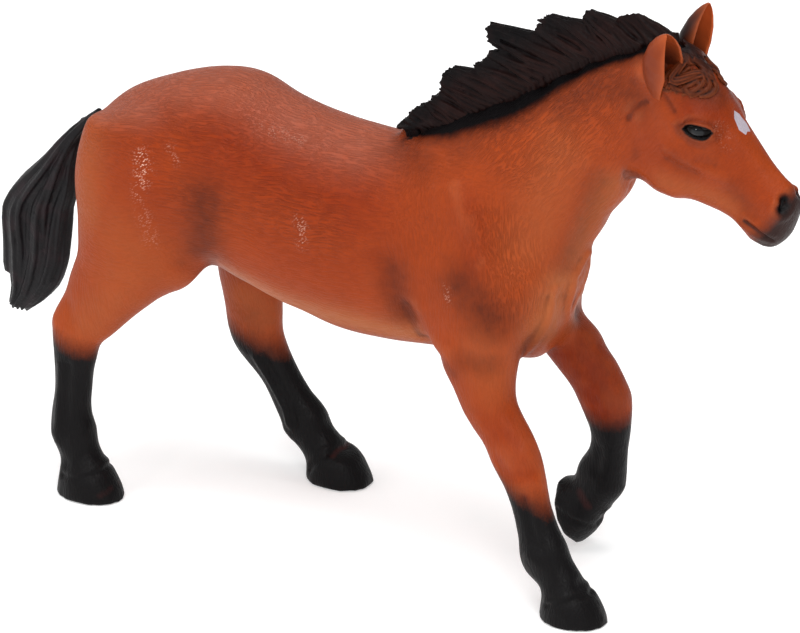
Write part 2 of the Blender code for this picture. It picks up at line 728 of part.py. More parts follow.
def ear_form(shares, base, lean, offset, side):
    """One closed form of an ear, turned so that its hollow faces forward and inward."""
    skin = bmesh.new()
    rows = []
    for along, out, half, front, back in shares:
        centre = base + lean * along * EAR_LENGTH + Vector((offset, side * out, 0.0)) * EAR_WIDTH
        rows.append((centre, half * EAR_WIDTH, back * EAR_WIDTH, front * EAR_WIDTH))
    loft(skin, rows, steps=EAR_STEPS)
    bmesh.ops.rotate(skin, verts=skin.verts, cent=base, matrix=Matrix.Rotation(-side * EAR_TURN, 3, lean))
    return skin


def make_ear(name, side, parts, cutters):
    """An ear, and the room that it needs in its neighbours."""
    along, out, up = EAR_PLACE_SHARES
    base = head_point(along, side * out, up)
    forward, outward, upward = EAR_LEAN_SHARES
    lean = Vector((forward, side * outward, upward))
    ear = object_from(name, ear_form(EAR_SHARES, base, lean, 0.0, side), parts)
    room = grown(ear, name + "_seat", cutters)
    scoop = ear_form(EAR_HOLLOW_SHARES, base, lean, EAR_HOLLOW_OFFSET_SHARE, side)
    combine(ear, object_from(name + "_hollow", scoop, cutters), "DIFFERENCE")
    return ear, room


def make_tail(parts):
    skin = bmesh.new()
    root = barrel_point(*TAIL_ROOT_SHARES)
    rows = []
    for back, down, depth, half in TAIL_SHARES:
        centre = root + Vector((-back * TAIL_REACH, 0.0, -down * TAIL_DROP))
        rows.append((centre, half * TAIL_THICKNESS, depth * TAIL_DEPTH, depth * TAIL_DEPTH))
    loft(skin, rows)
    tail = object_from("tail", skin, parts)
    fuse(tail, TAIL_GRAIN)
    relax(tail, HAIR_ROUNDS)
    thin(tail, TAIL_FACES_SHARE)
    return tail


# Assembly

def material(name, colour):
    made = bpy.data.materials.new(name)
    made.use_nodes = True
    shader = made.node_tree.nodes["Principled BSDF"]
    shader.inputs["Base Color"].default_value = (*colour, 1.0)
    shader.inputs["Roughness"].default_value = SHEEN
    shader.inputs["Metallic"].default_value = 0.0
    return made


def stand_on_origin(pieces):
    """Centres the whole figure over the origin, with its soles on the ground."""
    corners = [piece.matrix_world @ vertex.co for piece in pieces for vertex in piece.data.vertices]
    low = [min(corner[axis] for corner in corners) for axis in range(3)]
    high = [max(corner[axis] for corner in corners) for axis in range(3)]
    shift = Vector((-(low[0] + high[0]) / 2, -(low[1] + high[1]) / 2, -low[2]))
    for piece in pieces:
        piece.data.transform(Matrix.Translation(shift))


def main():
    for old in list(bpy.data.objects):
        bpy.data.objects.remove(old)
    parts = bpy.data.collections.new("toy_horse")
    cutters = bpy.data.collections.new("cutters")
    for collection in (parts, cutters):
        bpy.context.scene.collection.children.link(collection)
    body = make_body(cutters)
    torso = copy_of(body, "torso", parts)
    both = (parts, cutters)

    neck_seam = (NECK_SEAM_SHARES, NECK_SEAM_PITCH, 1, WHOLE_ZONE_SHARES, -FAR, FAR)
    neck_path = [(crest_point(row[0], row[1]), 0.0, 0.0, 0.0) for row in NECK_SHARES]
    tenon = (TENON_LENGTH, TENON_WIDTH, TENON_DEPTH)
    root = crossing(neck_path, neck_seam)
    head = part_off("head_and_neck", body, torso, neck_seam, root, NECK_SEAM_PITCH + math.pi, tenon, both)

    pieces = [torso, head]
    for leg in LEGS:
        hind = "hind" in leg.name
        place, pitch, zone, depth = HIND_SEAM if hind else FORE_SEAM
        near, far = (-FAR, 0.0) if leg.root.y < 0 else (0.0, FAR)
        seam = (place, pitch, -1, zone, near, far)
        root = crossing(leg_rows(leg), seam)
        sizes = (PEG_LENGTH, PEG_WIDTH, depth)
        pieces.append(part_off(leg.name, body, torso, seam, root, pitch, sizes, both))

    mane = make_mane(parts)
    tail = make_tail(parts)
    forelock = make_forelock(parts)
    seat(mane, (torso, head), cutters)
    seat(tail, (torso,), cutters)
    ears = []
    for name, side in (("right_ear", -1.0), ("left_ear", 1.0)):
        ear, room = make_ear(name, side, parts, cutters)
        ears.append(ear)
        combine(head, room, "DIFFERENCE")
        combine(forelock, room, "DIFFERENCE")
    seat(forelock, (head, mane), cutters)
    hair = [mane, tail, forelock]

    coat = material("painted PVC, bay", COAT)
    black = material("painted PVC, black", BLACK)
    for piece in pieces + ears + hair:
        piece.data.materials.clear()
        piece.data.materials.append(black if piece in hair else coat)
        piece.data.shade_smooth()
    stand_on_origin(pieces + ears + hair)
    for cutter in cutters.objects:
        cutter.hide_render = True
        cutter.display_type = "WIRE"


main()
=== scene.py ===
# %% [markdown]
# # A toy foal in painted PVC
# The figure is about 10 cm long, moulded in soft PVC and painted by airbrush: a red brown coat, black legs,
# black hair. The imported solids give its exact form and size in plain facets. This lesson makes from them
# what the eye sees: one smooth sculpted skin, the head's fine features, the hair in locks, and the paint.

# %% Load the solids
import math
from collections import namedtuple

import bmesh
import bpy
import numpy as np
from mathutils import Matrix, Vector
from mathutils.bvhtree import BVHTree


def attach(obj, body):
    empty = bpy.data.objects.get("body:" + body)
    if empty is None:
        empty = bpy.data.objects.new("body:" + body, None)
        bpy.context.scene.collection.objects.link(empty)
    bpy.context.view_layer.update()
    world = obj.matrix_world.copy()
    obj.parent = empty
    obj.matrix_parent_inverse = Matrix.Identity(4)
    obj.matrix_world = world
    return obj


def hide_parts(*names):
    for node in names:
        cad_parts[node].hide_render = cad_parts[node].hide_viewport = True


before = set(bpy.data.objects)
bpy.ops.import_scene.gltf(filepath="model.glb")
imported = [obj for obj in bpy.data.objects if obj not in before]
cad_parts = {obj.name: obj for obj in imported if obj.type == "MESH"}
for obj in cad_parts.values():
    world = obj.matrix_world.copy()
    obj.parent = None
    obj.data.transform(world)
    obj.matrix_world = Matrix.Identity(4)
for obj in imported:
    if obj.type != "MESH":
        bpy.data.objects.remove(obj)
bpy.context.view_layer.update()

print("solids:", ", ".join(sorted(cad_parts)))

# %% [markdown]
# ## Where things are
# A sculptor measures on the figure itself. Places here are in millimetres in the horse's own terms: forward
# of the middle of the right hind hoof, left of the middle plane, and up from the ground. One function turns
# such a place into the scene's metres, so every number below can be read with a ruler on the figure.

# %% The horse's own measures
MM = 0.001
ORIGIN = np.array((-33.86, 0.32, 0.0))


def place(forward, left, up):
    """A place on the figure, in metres."""
    return Vector((forward, left, up)) * MM + Vector(ORIGIN) * MM


def horse(points):
    """The scene's points in the horse's own millimetres."""
    return np.asarray(points) / MM - ORIGIN


def metres(points):
    """Places in the horse's own millimetres as the scene's metres."""
    return (points + ORIGIN) * MM


# %% [markdown]
# ## The camera
# The photograph is taken from the front of the horse's right side, a little from above, and from far away
# compared with the figure's size: the hooves show hardly any perspective. A long lens at 3 m gives that. The
# same camera then serves as a pointer: a place seen in the photograph is found on the figure by following
# its line of sight.

# %% Set up the camera
PHOTO_WIDTH, PHOTO_HEIGHT = 800, 633
PIXEL = 0.1081 * MM
AZIMUTH, ELEVATION = math.radians(30.14), math.radians(25.41)
DISTANCE = 3.1
SENSOR = 36.0

BACK = Vector((
    math.sin(AZIMUTH) * math.cos(ELEVATION),
    -math.cos(AZIMUTH) * math.cos(ELEVATION),
    math.sin(ELEVATION),
))
RIGHT = Vector((math.cos(AZIMUTH), math.sin(AZIMUTH), 0.0))
ABOVE = BACK.cross(RIGHT)
AIM = place(34.02, 0.0, 26.02)

camera_data = bpy.data.cameras.new("camera")
camera_data.sensor_width = SENSOR
camera_data.lens = SENSOR * DISTANCE / (PHOTO_WIDTH * PIXEL)
camera_data.clip_end = 20.0
camera = bpy.data.objects.new("camera", camera_data)
camera.matrix_world = Matrix((
    (RIGHT.x, ABOVE.x, BACK.x, 0.0),
    (RIGHT.y, ABOVE.y, BACK.y, 0.0),
    (RIGHT.z, ABOVE.z, BACK.z, 0.0),
    (0.0, 0.0, 0.0, 1.0),
))
camera.location = AIM + BACK * DISTANCE
bpy.context.scene.collection.objects.link(camera)
bpy.context.scene.camera = camera
print("lens:", round(camera_data.lens), "mm")


def sight(u, v):
    """The line of sight through a pixel of the photograph: where it starts and which way it goes."""
    across = RIGHT * (u - PHOTO_WIDTH / 2) * PIXEL
    along = ABOVE * (PHOTO_HEIGHT / 2 - v) * PIXEL
    way = AIM + across + along - camera.location
    return camera.location.copy(), way.normalized()


# %% [markdown]
# ## The skin, from the solids
# The real figure is moulded in a few pieces whose joints are filled and painted over, so the eye sees one
# skin. The solids have a gap of 0.3 mm at each joint, and sockets under the mane, the ears and the tail.
# Each solid is swollen until the gaps close, small fillers go into the sockets, and a voxel remesh draws one
# closed skin round all of it.

# %% Copy the solids
SKIN_NODES = ("torso", "head_and_neck", "right_hind_leg", "left_hind_leg", "right_foreleg", "left_foreleg")
SWELL = 0.22

# Fillers for the sockets: place and radii, mirrored where they aren't in the middle
FILLERS = (
    ((36.5, 0.0, 48.2), (2.5, 1.5, 1.6)),
    ((39.5, 0.0, 50.1), (2.6, 1.6, 1.7)),
    ((43.5, 0.0, 52.4), (2.8, 1.7, 1.8)),
    ((47.5, 0.0, 54.6), (2.8, 1.7, 1.8)),
    ((51.5, 0.0, 56.9), (2.8, 1.7, 1.8)),
    ((55.5, 0.0, 59.5), (2.8, 1.7, 1.8)),
    ((59.0, 0.0, 61.8), (2.6, 1.6, 1.8)),
    ((62.5, 0.0, 63.8), (2.6, 1.6, 1.8)),
    ((66.0, 0.0, 64.8), (2.6, 1.8, 1.8)),
    ((69.2, 0.0, 64.3), (2.4, 2.0, 1.8)),
    ((71.5, 0.0, 63.0), (2.0, 2.2, 1.6)),
    ((73.2, 0.0, 61.6), (1.8, 2.0, 1.5)),
    ((69.0, 2.3, 62.2), (1.9, 1.4, 2.0)),
    ((71.0, 1.9, 61.6), (1.9, 1.5, 1.9)),
    ((-1.2, 0.0, 39.6), (3.2, 2.0, 2.0)),
)


def solid_copy(name, swell):
    """A solid's mesh with its points merged, moved out along their normals."""
    copy = bmesh.new()
    copy.from_mesh(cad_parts[name].data)
    bmesh.ops.remove_doubles(copy, verts=copy.verts, dist=0.001 * MM)
    copy.normal_update()
    moves = [vertex.normal * swell * MM for vertex in copy.verts]
    for vertex, move in zip(copy.verts, moves):
        vertex.co += move
    return copy


def egg(skin, centre, radii):
    """Adds an ellipsoid at a place on the figure."""
    matrix = Matrix.Translation(place(*centre)) @ Matrix.Diagonal((*(radius * MM for radius in radii), 1.0))
    bmesh.ops.create_uvsphere(skin, u_segments=24, v_segments=12, radius=1.0, matrix=matrix)


print("solids under the skin:", len(SKIN_NODES), "and fillers:", len(FILLERS))

# %% [markdown]
# ### One closed skin
# Blender's boolean union would keep every facet, while the voxel skin has even quads that can be relaxed and
# sculpted. A modifier makes it, and what the modifier shows then becomes the object's own mesh.

# %% Join the solids
SKIN_GRAIN = 0.475


def new_object(name, skin):
    """Puts a finished skin into the scene as an object."""
    mesh = bpy.data.meshes.new(name)
    skin.to_mesh(mesh)
    skin.free()
    made = bpy.data.objects.new(name, mesh)
    bpy.context.scene.collection.objects.link(made)
    return made


def settle(target):
    """Replaces an object's mesh with what its modifiers make of it, and drops the modifiers."""
    graph = bpy.context.evaluated_depsgraph_get()
    mesh = bpy.data.meshes.new_from_object(target.evaluated_get(graph))
    old = target.data
    target.modifiers.clear()
    target.data = mesh
    bpy.data.meshes.remove(old)


def voxel_skin(target, grain):
    """Melts everything in an object into closed skins of even quads."""
    remesh = target.modifiers.new("skin", "REMESH")
    remesh.mode = "VOXEL"
    remesh.voxel_size = grain * MM
    settle(target)


joined = bmesh.new()
for name in SKIN_NODES:
    copy = solid_copy(name, SWELL)
    mesh = bpy.data.meshes.new("copy")
    copy.to_mesh(mesh)
    copy.free()
    joined.from_mesh(mesh)
    bpy.data.meshes.remove(mesh)
for (forward, left, up), radii in FILLERS:
    for side in ((left, -left) if left else (left,)):
        egg(joined, (forward, side, up), radii)
coat = new_object("coat", joined)
voxel_skin(coat, SKIN_GRAIN)
print("coarse skin:", len(coat.data.vertices), "points")

# %% [markdown]
# ### The skin as arrays
# The sculpting below moves a hundred thousand points at a time. So a mesh's points, normals and edges are
# read into arrays, numpy moves them all at once, and they are written back.

# %% Read and write points
def points_of(mesh):
    """A mesh's points, in the scene's metres."""
    points = np.empty(len(mesh.vertices) * 3)
    mesh.vertices.foreach_get("co", points)
    return points.reshape(-1, 3)


def put_points(mesh, points):
    """Moves a mesh's points."""
    mesh.vertices.foreach_set("co", np.ascontiguousarray(points).ravel())
    mesh.update()


def normals_of(mesh):
    """The way that a mesh faces at each point."""
    normals = np.empty(len(mesh.vertices) * 3)
    mesh.vertices.foreach_get("normal", normals)
    return normals.reshape(-1, 3)


def links_of(mesh):
    """The two ends of every edge, and how many edges meet at each point."""
    ends = np.empty(len(mesh.edges) * 2, dtype=np.int32)
    mesh.edges.foreach_get("vertices", ends)
    first, second = ends.reshape(-1, 2).T
    valence = np.maximum(np.bincount(ends, minlength=len(mesh.vertices)), 1)
    return first, second, valence[:, None]


def neighbour_mean(points, links):
    """The middle of each point's neighbours."""
    first, second, valence = links
    count = len(points)
    total = [
        np.bincount(first, points[second, axis], count) + np.bincount(second, points[first, axis], count)
        for axis in range(3)
    ]
    return np.column_stack(total) / valence


print("edges at a point, on average:", round(float(links_of(coat.data)[2].mean()), 2))

# %% [markdown]
# ## Relax and refine
# The voxel skin has steps, and under them the facets of the solids. Plain smoothing would shrink the legs.
# The relaxing here moves every point towards its neighbours and then almost as far back out, which takes the
# ripples and keeps the volume. The trunk takes the full push of every round, the legs and the head about a
# fifth of it. A subdivision then gives the points that the sculpting needs.

# %% Relax and refine
RELAX_PUSHES = (0.55, -0.52)
SKIN_ROUNDS = 34
FINE_SHARE = 0.22


def relax(mesh, rounds, weight=1.0):
    """Evens a skin out without shrinking it."""
    points, links = points_of(mesh), links_of(mesh)
    weight = np.reshape(weight, (-1, 1))
    for push in RELAX_PUSHES * rounds:
        points += push * weight * (neighbour_mean(points, links) - points)
    put_points(mesh, points)


def ramp(values, low, high):
    """0 below low, 1 above high, and a smooth slope between."""
    share = np.clip((values - low) / (high - low), 0.0, 1.0)
    return share * share * (3.0 - 2.0 * share)


def keep_largest(target):
    """Drops the closed pockets that the sockets leave inside."""
    skin = bmesh.new()
    skin.from_mesh(target.data)
    left = set(skin.verts)
    pockets = []
    while left:
        stack = [left.pop()]
        island = list(stack)
        while stack:
            for edge in stack.pop().link_edges:
                for vertex in edge.verts:
                    if vertex in left:
                        left.remove(vertex)
                        stack.append(vertex)
                        island.append(vertex)
        pockets.append(island)
    pockets.sort(key=len)
    for island in pockets[:-1]:
        bmesh.ops.delete(skin, geom=island, context="VERTS")
    skin.to_mesh(target.data)
    skin.free()
    return len(pockets) - 1


def subdivide_smooth(target, levels):
    """Gives a skin four times its faces, level by level."""
    smooth = target.modifiers.new("smooth", "SUBSURF")
    smooth.levels = levels
    smooth.render_levels = levels
    settle(target)


print("pockets dropped:", keep_largest(coat))
at = horse(points_of(coat.data))
trunk = ramp(at[:, 2], 19.0, 29.0) * (1.0 - ramp(at[:, 0], 60.0, 66.0))
relax(coat.data, SKIN_ROUNDS, FINE_SHARE + (1.0 - FINE_SHARE) * trunk)
put_points(coat.data, points_of(coat.data) - normals_of(coat.data) * SWELL * MM)
subdivide_smooth(coat, 1)
print("skin:", len(coat.data.vertices), "points")

# %% [markdown]
# ## The stage
# The photograph is a cut-out on white. A white paper floor that glows a little, as on a light table, leaves
# only a faint shadow below. Its fibres are a slow noise between two near whites.

# %% Lay the floor
def srgb(code):
    """An sRGB hex colour as linear values, fully opaque."""
    channels = [int(code[index : index + 2], 16) / 255.0 for index in (0, 2, 4)]
    return (*(c / 12.92 if c <= 0.04045 else ((c + 0.055) / 1.055) ** 2.4 for c in channels), 1.0)


def add_node(tree, kind, settings=None, **inputs):
    """Adds a node. An input is a value, or another node's output to link."""
    node = tree.nodes.new(kind)
    for key, value in (settings or {}).items():
        setattr(node, key, value)
    for key, value in inputs.items():
        socket = node.inputs[int(key[1:])] if key[1:].isdigit() else node.inputs[key.replace("_", " ")]
        if isinstance(value, bpy.types.NodeSocket):
            tree.links.new(value, socket)
        else:
            socket.default_value = value
    return node


floor_material = bpy.data.materials.new("white studio paper")
floor_material.use_nodes = True
nodes = floor_material.node_tree
paper = nodes.nodes["Principled BSDF"]
fibre = add_node(
    nodes, "ShaderNodeTexNoise", Vector=add_node(nodes, "ShaderNodeTexCoord").outputs["Object"],
    Scale=1.0 / (2.0 * MM), Detail=3.0,
).outputs["Fac"]
tint = add_node(
    nodes, "ShaderNodeMix", {"data_type": "RGBA"}, i0=fibre, i6=srgb("f3f3f3"), i7=srgb("f9f9f9")
).outputs[2]
nodes.links.new(tint, paper.inputs["Base Color"])
paper.inputs["Roughness"].default_value = 0.9
paper.inputs["Specular IOR Level"].default_value = 0.2
paper.inputs["Emission Color"].default_value = (1.0, 1.0, 1.0, 1.0)
paper.inputs["Emission Strength"].default_value = 0.22
floor_skin = bmesh.new()
bmesh.ops.create_grid(floor_skin, x_segments=1, y_segments=1, size=1.5)
floor = new_object("floor", floor_skin)
floor.data.materials.append(floor_material)
print("paper:", len(nodes.nodes), "nodes")

# %% [markdown]
# ### Light
# The figure is lit softly from all round. A white world and three large lamps above give that even light,
# and the lamps keep enough direction to show the sculpted forms.

# %% Set the lamps
world = bpy.data.worlds.new("studio")
world.use_nodes = True
world.node_tree.nodes["Background"].inputs["Color"].default_value = (1.0, 1.0, 1.0, 1.0)
world.node_tree.nodes["Background"].inputs["Strength"].default_value = 0.55
bpy.context.scene.world = world
bpy.context.scene.view_settings.view_transform = "Standard"

# Lamps: where, how large, how strong
LAMPS = (
    ("top", (0.05, -0.10, 0.60), 0.50, 2.5),
    ("key", (0.35, -0.55, 0.45), 0.40, 2.2),
    ("fill", (-0.55, -0.35, 0.35), 0.40, 0.9),
)
for name, position, size, power in LAMPS:
    lamp_data = bpy.data.lights.new(name, "AREA")
    lamp_data.shape = "DISK"
    lamp_data.size = size
    lamp_data.energy = power
    lamp = bpy.data.objects.new(name, lamp_data)
    lamp.location = position
    lamp.rotation_euler = (Vector(position) - AIM).to_track_quat("Z", "Y").to_euler()
    bpy.context.scene.collection.objects.link(lamp)
print("lamps:", len(LAMPS))

# %% [markdown]
# ## Places seen in the photograph
# Everything fine, such as a crease, an eyelid or the edge of the paint, is placed where the photograph shows
# it. A line of sight goes through that pixel until it meets the skin, or a plane at a given distance left of
# the middle.

# %% Find places by pixel
def skin_tree():
    """The coat as it is now, ready for lines of sight to meet."""
    return BVHTree.FromObject(coat, bpy.context.evaluated_depsgraph_get())


def on_skin(tree, u, v, proud=0.0):
    """The place in millimetres that a pixel shows on the skin, and the way the skin faces there."""
    start, way = sight(u, v)
    spot, facing, _, _ = tree.ray_cast(start, way)
    if spot is None:
        middle = (AIM - start).dot(way)
        tries = [tree.find_nearest(start + way * (middle + step * MM)) for step in range(-60, 61)]
        spot, facing, _, _ = min(tries, key=lambda found: found[3])
    return horse(spot) + np.array(facing) * proud, np.array(facing)


def on_plane(u, v, left=0.0):
    """The place that a pixel shows on the plane at a distance left of the middle."""
    start, way = sight(u, v)
    level = (left + ORIGIN[1]) * MM
    return horse(start + way * ((level - start.y) / way.y))


def seen_in_photo(points):
    """The pixels of the photograph at which places are seen."""
    away = metres(points) - np.array(AIM)
    size = DISTANCE / (DISTANCE - away @ np.array(BACK)) / PIXEL
    across, along = away @ np.array(RIGHT) * size, away @ np.array(ABOVE) * size
    return np.column_stack([PHOTO_WIDTH / 2 + across, PHOTO_HEIGHT / 2 - along])


tree = skin_tree()
eye_spot, _ = on_skin(tree, 697, 133)
print("the near eye lies at", np.round(eye_spot, 1), "mm")

# %% [markdown]
# ## Sculpting
# The sculptor of such a figure works muscles and folds into wax with a loop and a ball tool. The two tools
# here do the same: `sculpt` raises or presses the skin along lines, and fades with the distance from them;
# `pull` drags a soft patch as the picture shows it, without moving it left or right of the middle. Strokes
# on the trunk, the neck and the head work on both sides alike, and strokes on a leg work on its outer and
# inner face.

# %% Sculpting tools
def along_path(points, path):
    """Each point's distance to a path."""
    best = np.full(len(points), np.inf)
    for start, end in zip(path[:-1], path[1:]):
        way = end - start
        share = np.clip((points - start) @ way / max(way @ way, 1e-9), 0.0, 1.0)
        best = np.minimum(best, np.linalg.norm(points - start - share[:, None] * way, axis=1))
    return best


def mirrored(points, middle):
    """The points' places with their left and right folded onto the side that the camera sees."""
    folded = points.copy()
    folded[:, 1] = middle - np.abs(folded[:, 1] - middle)
    return folded


def spread(tree, points, pixels, width, middle=None, left=None):
    """How far each point feels a line of pixels: 1 on it, fading over its width in millimetres."""
    path = [on_skin(tree, *pixel)[0] if left is None else on_plane(*pixel, left) for pixel in pixels]
    path = np.array(path if len(path) > 1 else path * 2)
    seen = points if middle is None else mirrored(points, middle)
    low, high = path.min(axis=0) - 3 * width, path.max(axis=0) + 3 * width
    near = np.nonzero(((seen > low) & (seen < high)).all(axis=1))[0]
    felt = np.zeros(len(points))
    felt[near] = np.exp(-((along_path(seen[near], path) / width) ** 2))
    return felt


def sculpt(mesh, tree, strokes, middle):
    """Strokes, each a line of pixels, a width and a height in millimetres, fading along their ends."""
    points, facing = horse(points_of(mesh)), normals_of(mesh)
    height = np.zeros(len(points))
    for pixels, width, rise in strokes:
        height += rise * spread(tree, points, pixels, width, middle)
    put_points(mesh, metres(points + facing * height[:, None]))


def pull(mesh, patches):
    """Drags patches: a pixel and how far left, radius and drag in pixels, depth in mm, if both sides."""
    points = horse(points_of(mesh))
    for (u, v, left), radius, (across, down), depth, both in patches:
        folded = mirrored(points, 0.0) if both else points
        away = np.linalg.norm(seen_in_photo(folded) - (u, v), axis=1)
        way = np.array(RIGHT * across - ABOVE * down) * PIXEL / MM
        way[1] = 0.0
        felt = np.exp(-((away / radius) ** 2) - ((folded[:, 1] - left) / depth) ** 2)
        points += felt[:, None] * way
    put_points(mesh, metres(points))


# %% [markdown]
# ### Trunk and neck
# The forms that the photograph shows: the hollow of the flank, the girth, the shoulder blade's front edge and
# spine, the triceps, the jugular groove, and the folds of the breast.

# %% Sculpt the trunk and the neck
TRUNK = (
    (((212, 184), (202, 222), (193, 258)), 3.2, -0.42),
    (((150, 190), (166, 225), (182, 258)), 4.0, 0.30),
    (((228, 196), (218, 235), (212, 262)), 1.6, 0.15),
    (((176, 104), (205, 94), (236, 98)), 3.0, 0.15),
    (((385, 262), (396, 294), (407, 313)), 1.9, -0.40),
    (((404, 308), (420, 337), (436, 358)), 0.9, -0.30),
    (((415, 304), (430, 332), (446, 352)), 1.3, 0.28),
    (((446, 150), (466, 167), (480, 184), (494, 212)), 2.2, -0.28),
    (((455, 188), (466, 225), (480, 264)), 1.1, 0.24),
    (((474, 218), (486, 258)), 0.7, 0.12),
    (((456, 272), (474, 300), (488, 330)), 3.2, 0.36),
    (((470, 284), (486, 304), (502, 324)), 1.8, -0.24),
    (((510, 290), (512, 320), (508, 345)), 2.6, 0.22),
    (((600, 182), (590, 208), (577, 240), (566, 275), (560, 296)), 1.5, -0.24),
    (((583, 164), (567, 205), (552, 250), (541, 285)), 2.4, 0.24),
    (((545, 130), (528, 165), (520, 200)), 3.4, -0.20),
    (((588, 253), (576, 278), (569, 308), (561, 337), (546, 354)), 0.45, 0.34),
    (((582, 262), (570, 290), (562, 316), (553, 338), (540, 350)), 0.9, -0.14),
    (((556, 288), (553, 305), (548, 323), (536, 340), (524, 353)), 0.5, 0.28),
    (((549, 298), (545, 320), (534, 335), (520, 348)), 1.0, -0.12),
)
sculpt(coat.data, tree, TRUNK, 0.0)

# Where the outline needs more or less: stifle, belly, breast, throat, jaw, forehead, and the far shoulder's
# front
pull(coat.data, (
    ((181, 272, -6.0), 24.0, (12, 14), 5.0, True),
    ((541, 349, 0.0), 22.0, (0, 8), 3.0, True),
    ((640, 173, -1.5), 14.0, (-16, 3), 5.0, True),
    ((657, 184, -1.5), 13.0, (-4, 7), 5.0, True),
    ((674, 191, -1.5), 13.0, (-1, 6), 5.0, True),
    ((760, 246, -1.0), 14.0, (1, -9), 4.0, True),
    ((790, 177, -1.0), 12.0, (2, -5), 4.0, True),
    ((749, 112, -0.5), 17.0, (-6, 1), 5.0, True),
    ((300, 318, -3.0), 26.0, (0, -4), 8.0, True),
    ((214, 267, -6.0), 15.0, (1, -9), 6.0, True),
    ((632, 184, -1.0), 12.0, (-5, -4), 5.0, True),
    ((597, 231, -1.0), 13.0, (3, 1), 5.0, True),
    ((590, 312, 5.5), 17.0, (-13, 3), 5.0, False),
    ((610, 345, 6.0), 13.0, (-3, 1), 5.0, False),
))

# %% [markdown]
# ### Legs
# Knees, hocks, tendons, fetlocks, and the groove of the coronet where the hoof's wall begins.

# %% Sculpt the legs
LEGS = (
    # right hind
    (-8.3, (
        (((68, 305), (72, 322)), 1.0, -0.20),
        (((56, 308), (55, 322)), 0.9, 0.22),
        (((110, 318), (104, 335)), 1.4, 0.16),
        (((68, 366), (66, 398), (65, 428)), 0.5, -0.26),
        (((60, 366), (58, 400), (57, 426)), 0.5, 0.16),
        (((55, 434), (57, 440)), 0.8, 0.24),
        (((66, 466), (63, 472)), 0.8, -0.26),
        (((61, 475), (78, 479), (96, 474), (108, 467)), 0.32, -0.24),
        (((62, 472), (79, 475), (96, 470), (107, 463)), 0.4, 0.12),
    )),
    # left hind
    (8.7, (
        (((255, 356), (270, 380), (285, 408), (289, 424)), 0.45, 0.34),
        (((263, 356), (277, 381), (291, 408), (296, 424)), 0.5, -0.28),
        (((286, 430), (291, 436)), 0.8, 0.20),
        (((309, 470), (320, 459), (330, 452), (350, 447)), 0.32, -0.24),
        (((308, 464), (319, 455), (329, 448), (348, 442)), 0.4, 0.12),
    )),
    # right fore
    (-9.0, (
        (((470, 362), (500, 366)), 1.3, -0.22),
        (((510, 452), (538, 452)), 1.6, 0.14),
        (((512, 478), (538, 474)), 0.9, -0.16),
        (((498, 463), (502, 470)), 0.9, -0.22),
        (((524, 500), (530, 525), (536, 545)), 0.5, -0.24),
        (((530, 556), (536, 562)), 0.8, 0.22),
        (((546, 606), (566, 603), (585, 597), (600, 591)), 0.32, -0.26),
        (((545, 601), (565, 598), (584, 592), (598, 587)), 0.4, 0.12),
    )),
    # left fore
    (6.5, (
        (((592, 396), (598, 412)), 1.0, -0.22),
        (((612, 398), (628, 398)), 1.6, 0.16),
        (((600, 450), (596, 470)), 0.6, -0.20),
        (((556, 509), (577, 522), (598, 523), (606, 515)), 0.32, -0.24),
        (((558, 503), (578, 517), (598, 518), (605, 511)), 0.4, 0.12),
    )),
)
for middle, strokes in LEGS:
    sculpt(coat.data, tree, strokes, middle)
print("strokes:", len(TRUNK) + sum(len(strokes) for _, strokes in LEGS))

# %% [markdown]
# ### The head
# The head is 24 mm long and carries the finest work, so its skin gets four times as many points before the
# sculptor goes on. The eye is an almond 3 mm long: a glossy ball behind two lids. The nostril is a comma, the
# mouth a line that runs round the muzzle.

# %% Refine the head
HEAD_FROM, HEAD_ABOVE = 66.5, 40.0


def refine(target, chosen):
    """Halves the edges of the chosen points' faces."""
    skin = bmesh.new()
    skin.from_mesh(target.data)
    skin.verts.ensure_lookup_table()
    edges = [edge for edge in skin.edges if chosen[edge.verts[0].index] and chosen[edge.verts[1].index]]
    bmesh.ops.subdivide_edges(skin, edges=edges, cuts=1, use_grid_fill=True, smooth=0.9)
    skin.to_mesh(target.data)
    skin.free()


at = horse(points_of(coat.data))
refine(coat, (at[:, 0] > HEAD_FROM) & (at[:, 2] > HEAD_ABOVE))
at = horse(points_of(coat.data))
head_share = ramp(at[:, 0], HEAD_FROM - 1.0, HEAD_FROM + 1.0) * ramp(at[:, 2], HEAD_ABOVE, HEAD_ABOVE + 2.0)
relax(coat.data, 4, head_share)
tree = skin_tree()
print("skin with a fine head:", len(coat.data.vertices), "points")

# %% [markdown]
# ### Bones under thin skin
# A horse's face is all bone and tendon: the cheekbone's ridge below the eye, the flat plate of the cheek
# with its round edge, the hollow above the eye, the fold behind the ear. Narrow strokes of a few tenths of a
# millimetre draw them.

# %% Sculpt the head
HEAD = (
    (((628, 119), (634, 110), (641, 104), (647, 102)), 0.4, -0.24),
    (((633, 110), (638, 118), (640, 130)), 1.0, 0.16),
    (((632, 128), (630, 145), (636, 162)), 1.5, -0.18),
    (((668, 148), (684, 158), (704, 168), (724, 178)), 1.0, 0.26),
    (((666, 160), (680, 169), (694, 174)), 0.7, -0.28),
    (((697, 162), (714, 166)), 0.55, -0.20),
    (((664, 92), (669, 102), (674, 111)), 0.45, -0.22),
    (((655, 100), (662, 112), (672, 122)), 1.2, 0.18),
    (((645, 72), (654, 79), (664, 84)), 1.25, 0.75),
    (((700, 104), (716, 112), (722, 126)), 1.6, -0.16),
    (((724, 140), (738, 160), (750, 176)), 1.2, -0.24),
    (((735, 196), (744, 206), (752, 214)), 1.3, -0.20),
    (((690, 186), (706, 190), (722, 196)), 1.6, -0.14),
    (((740, 222), (750, 232), (760, 238)), 1.0, 0.20),
)
sculpt(coat.data, tree, HEAD, 0.0)
print("strokes on the head:", len(HEAD))

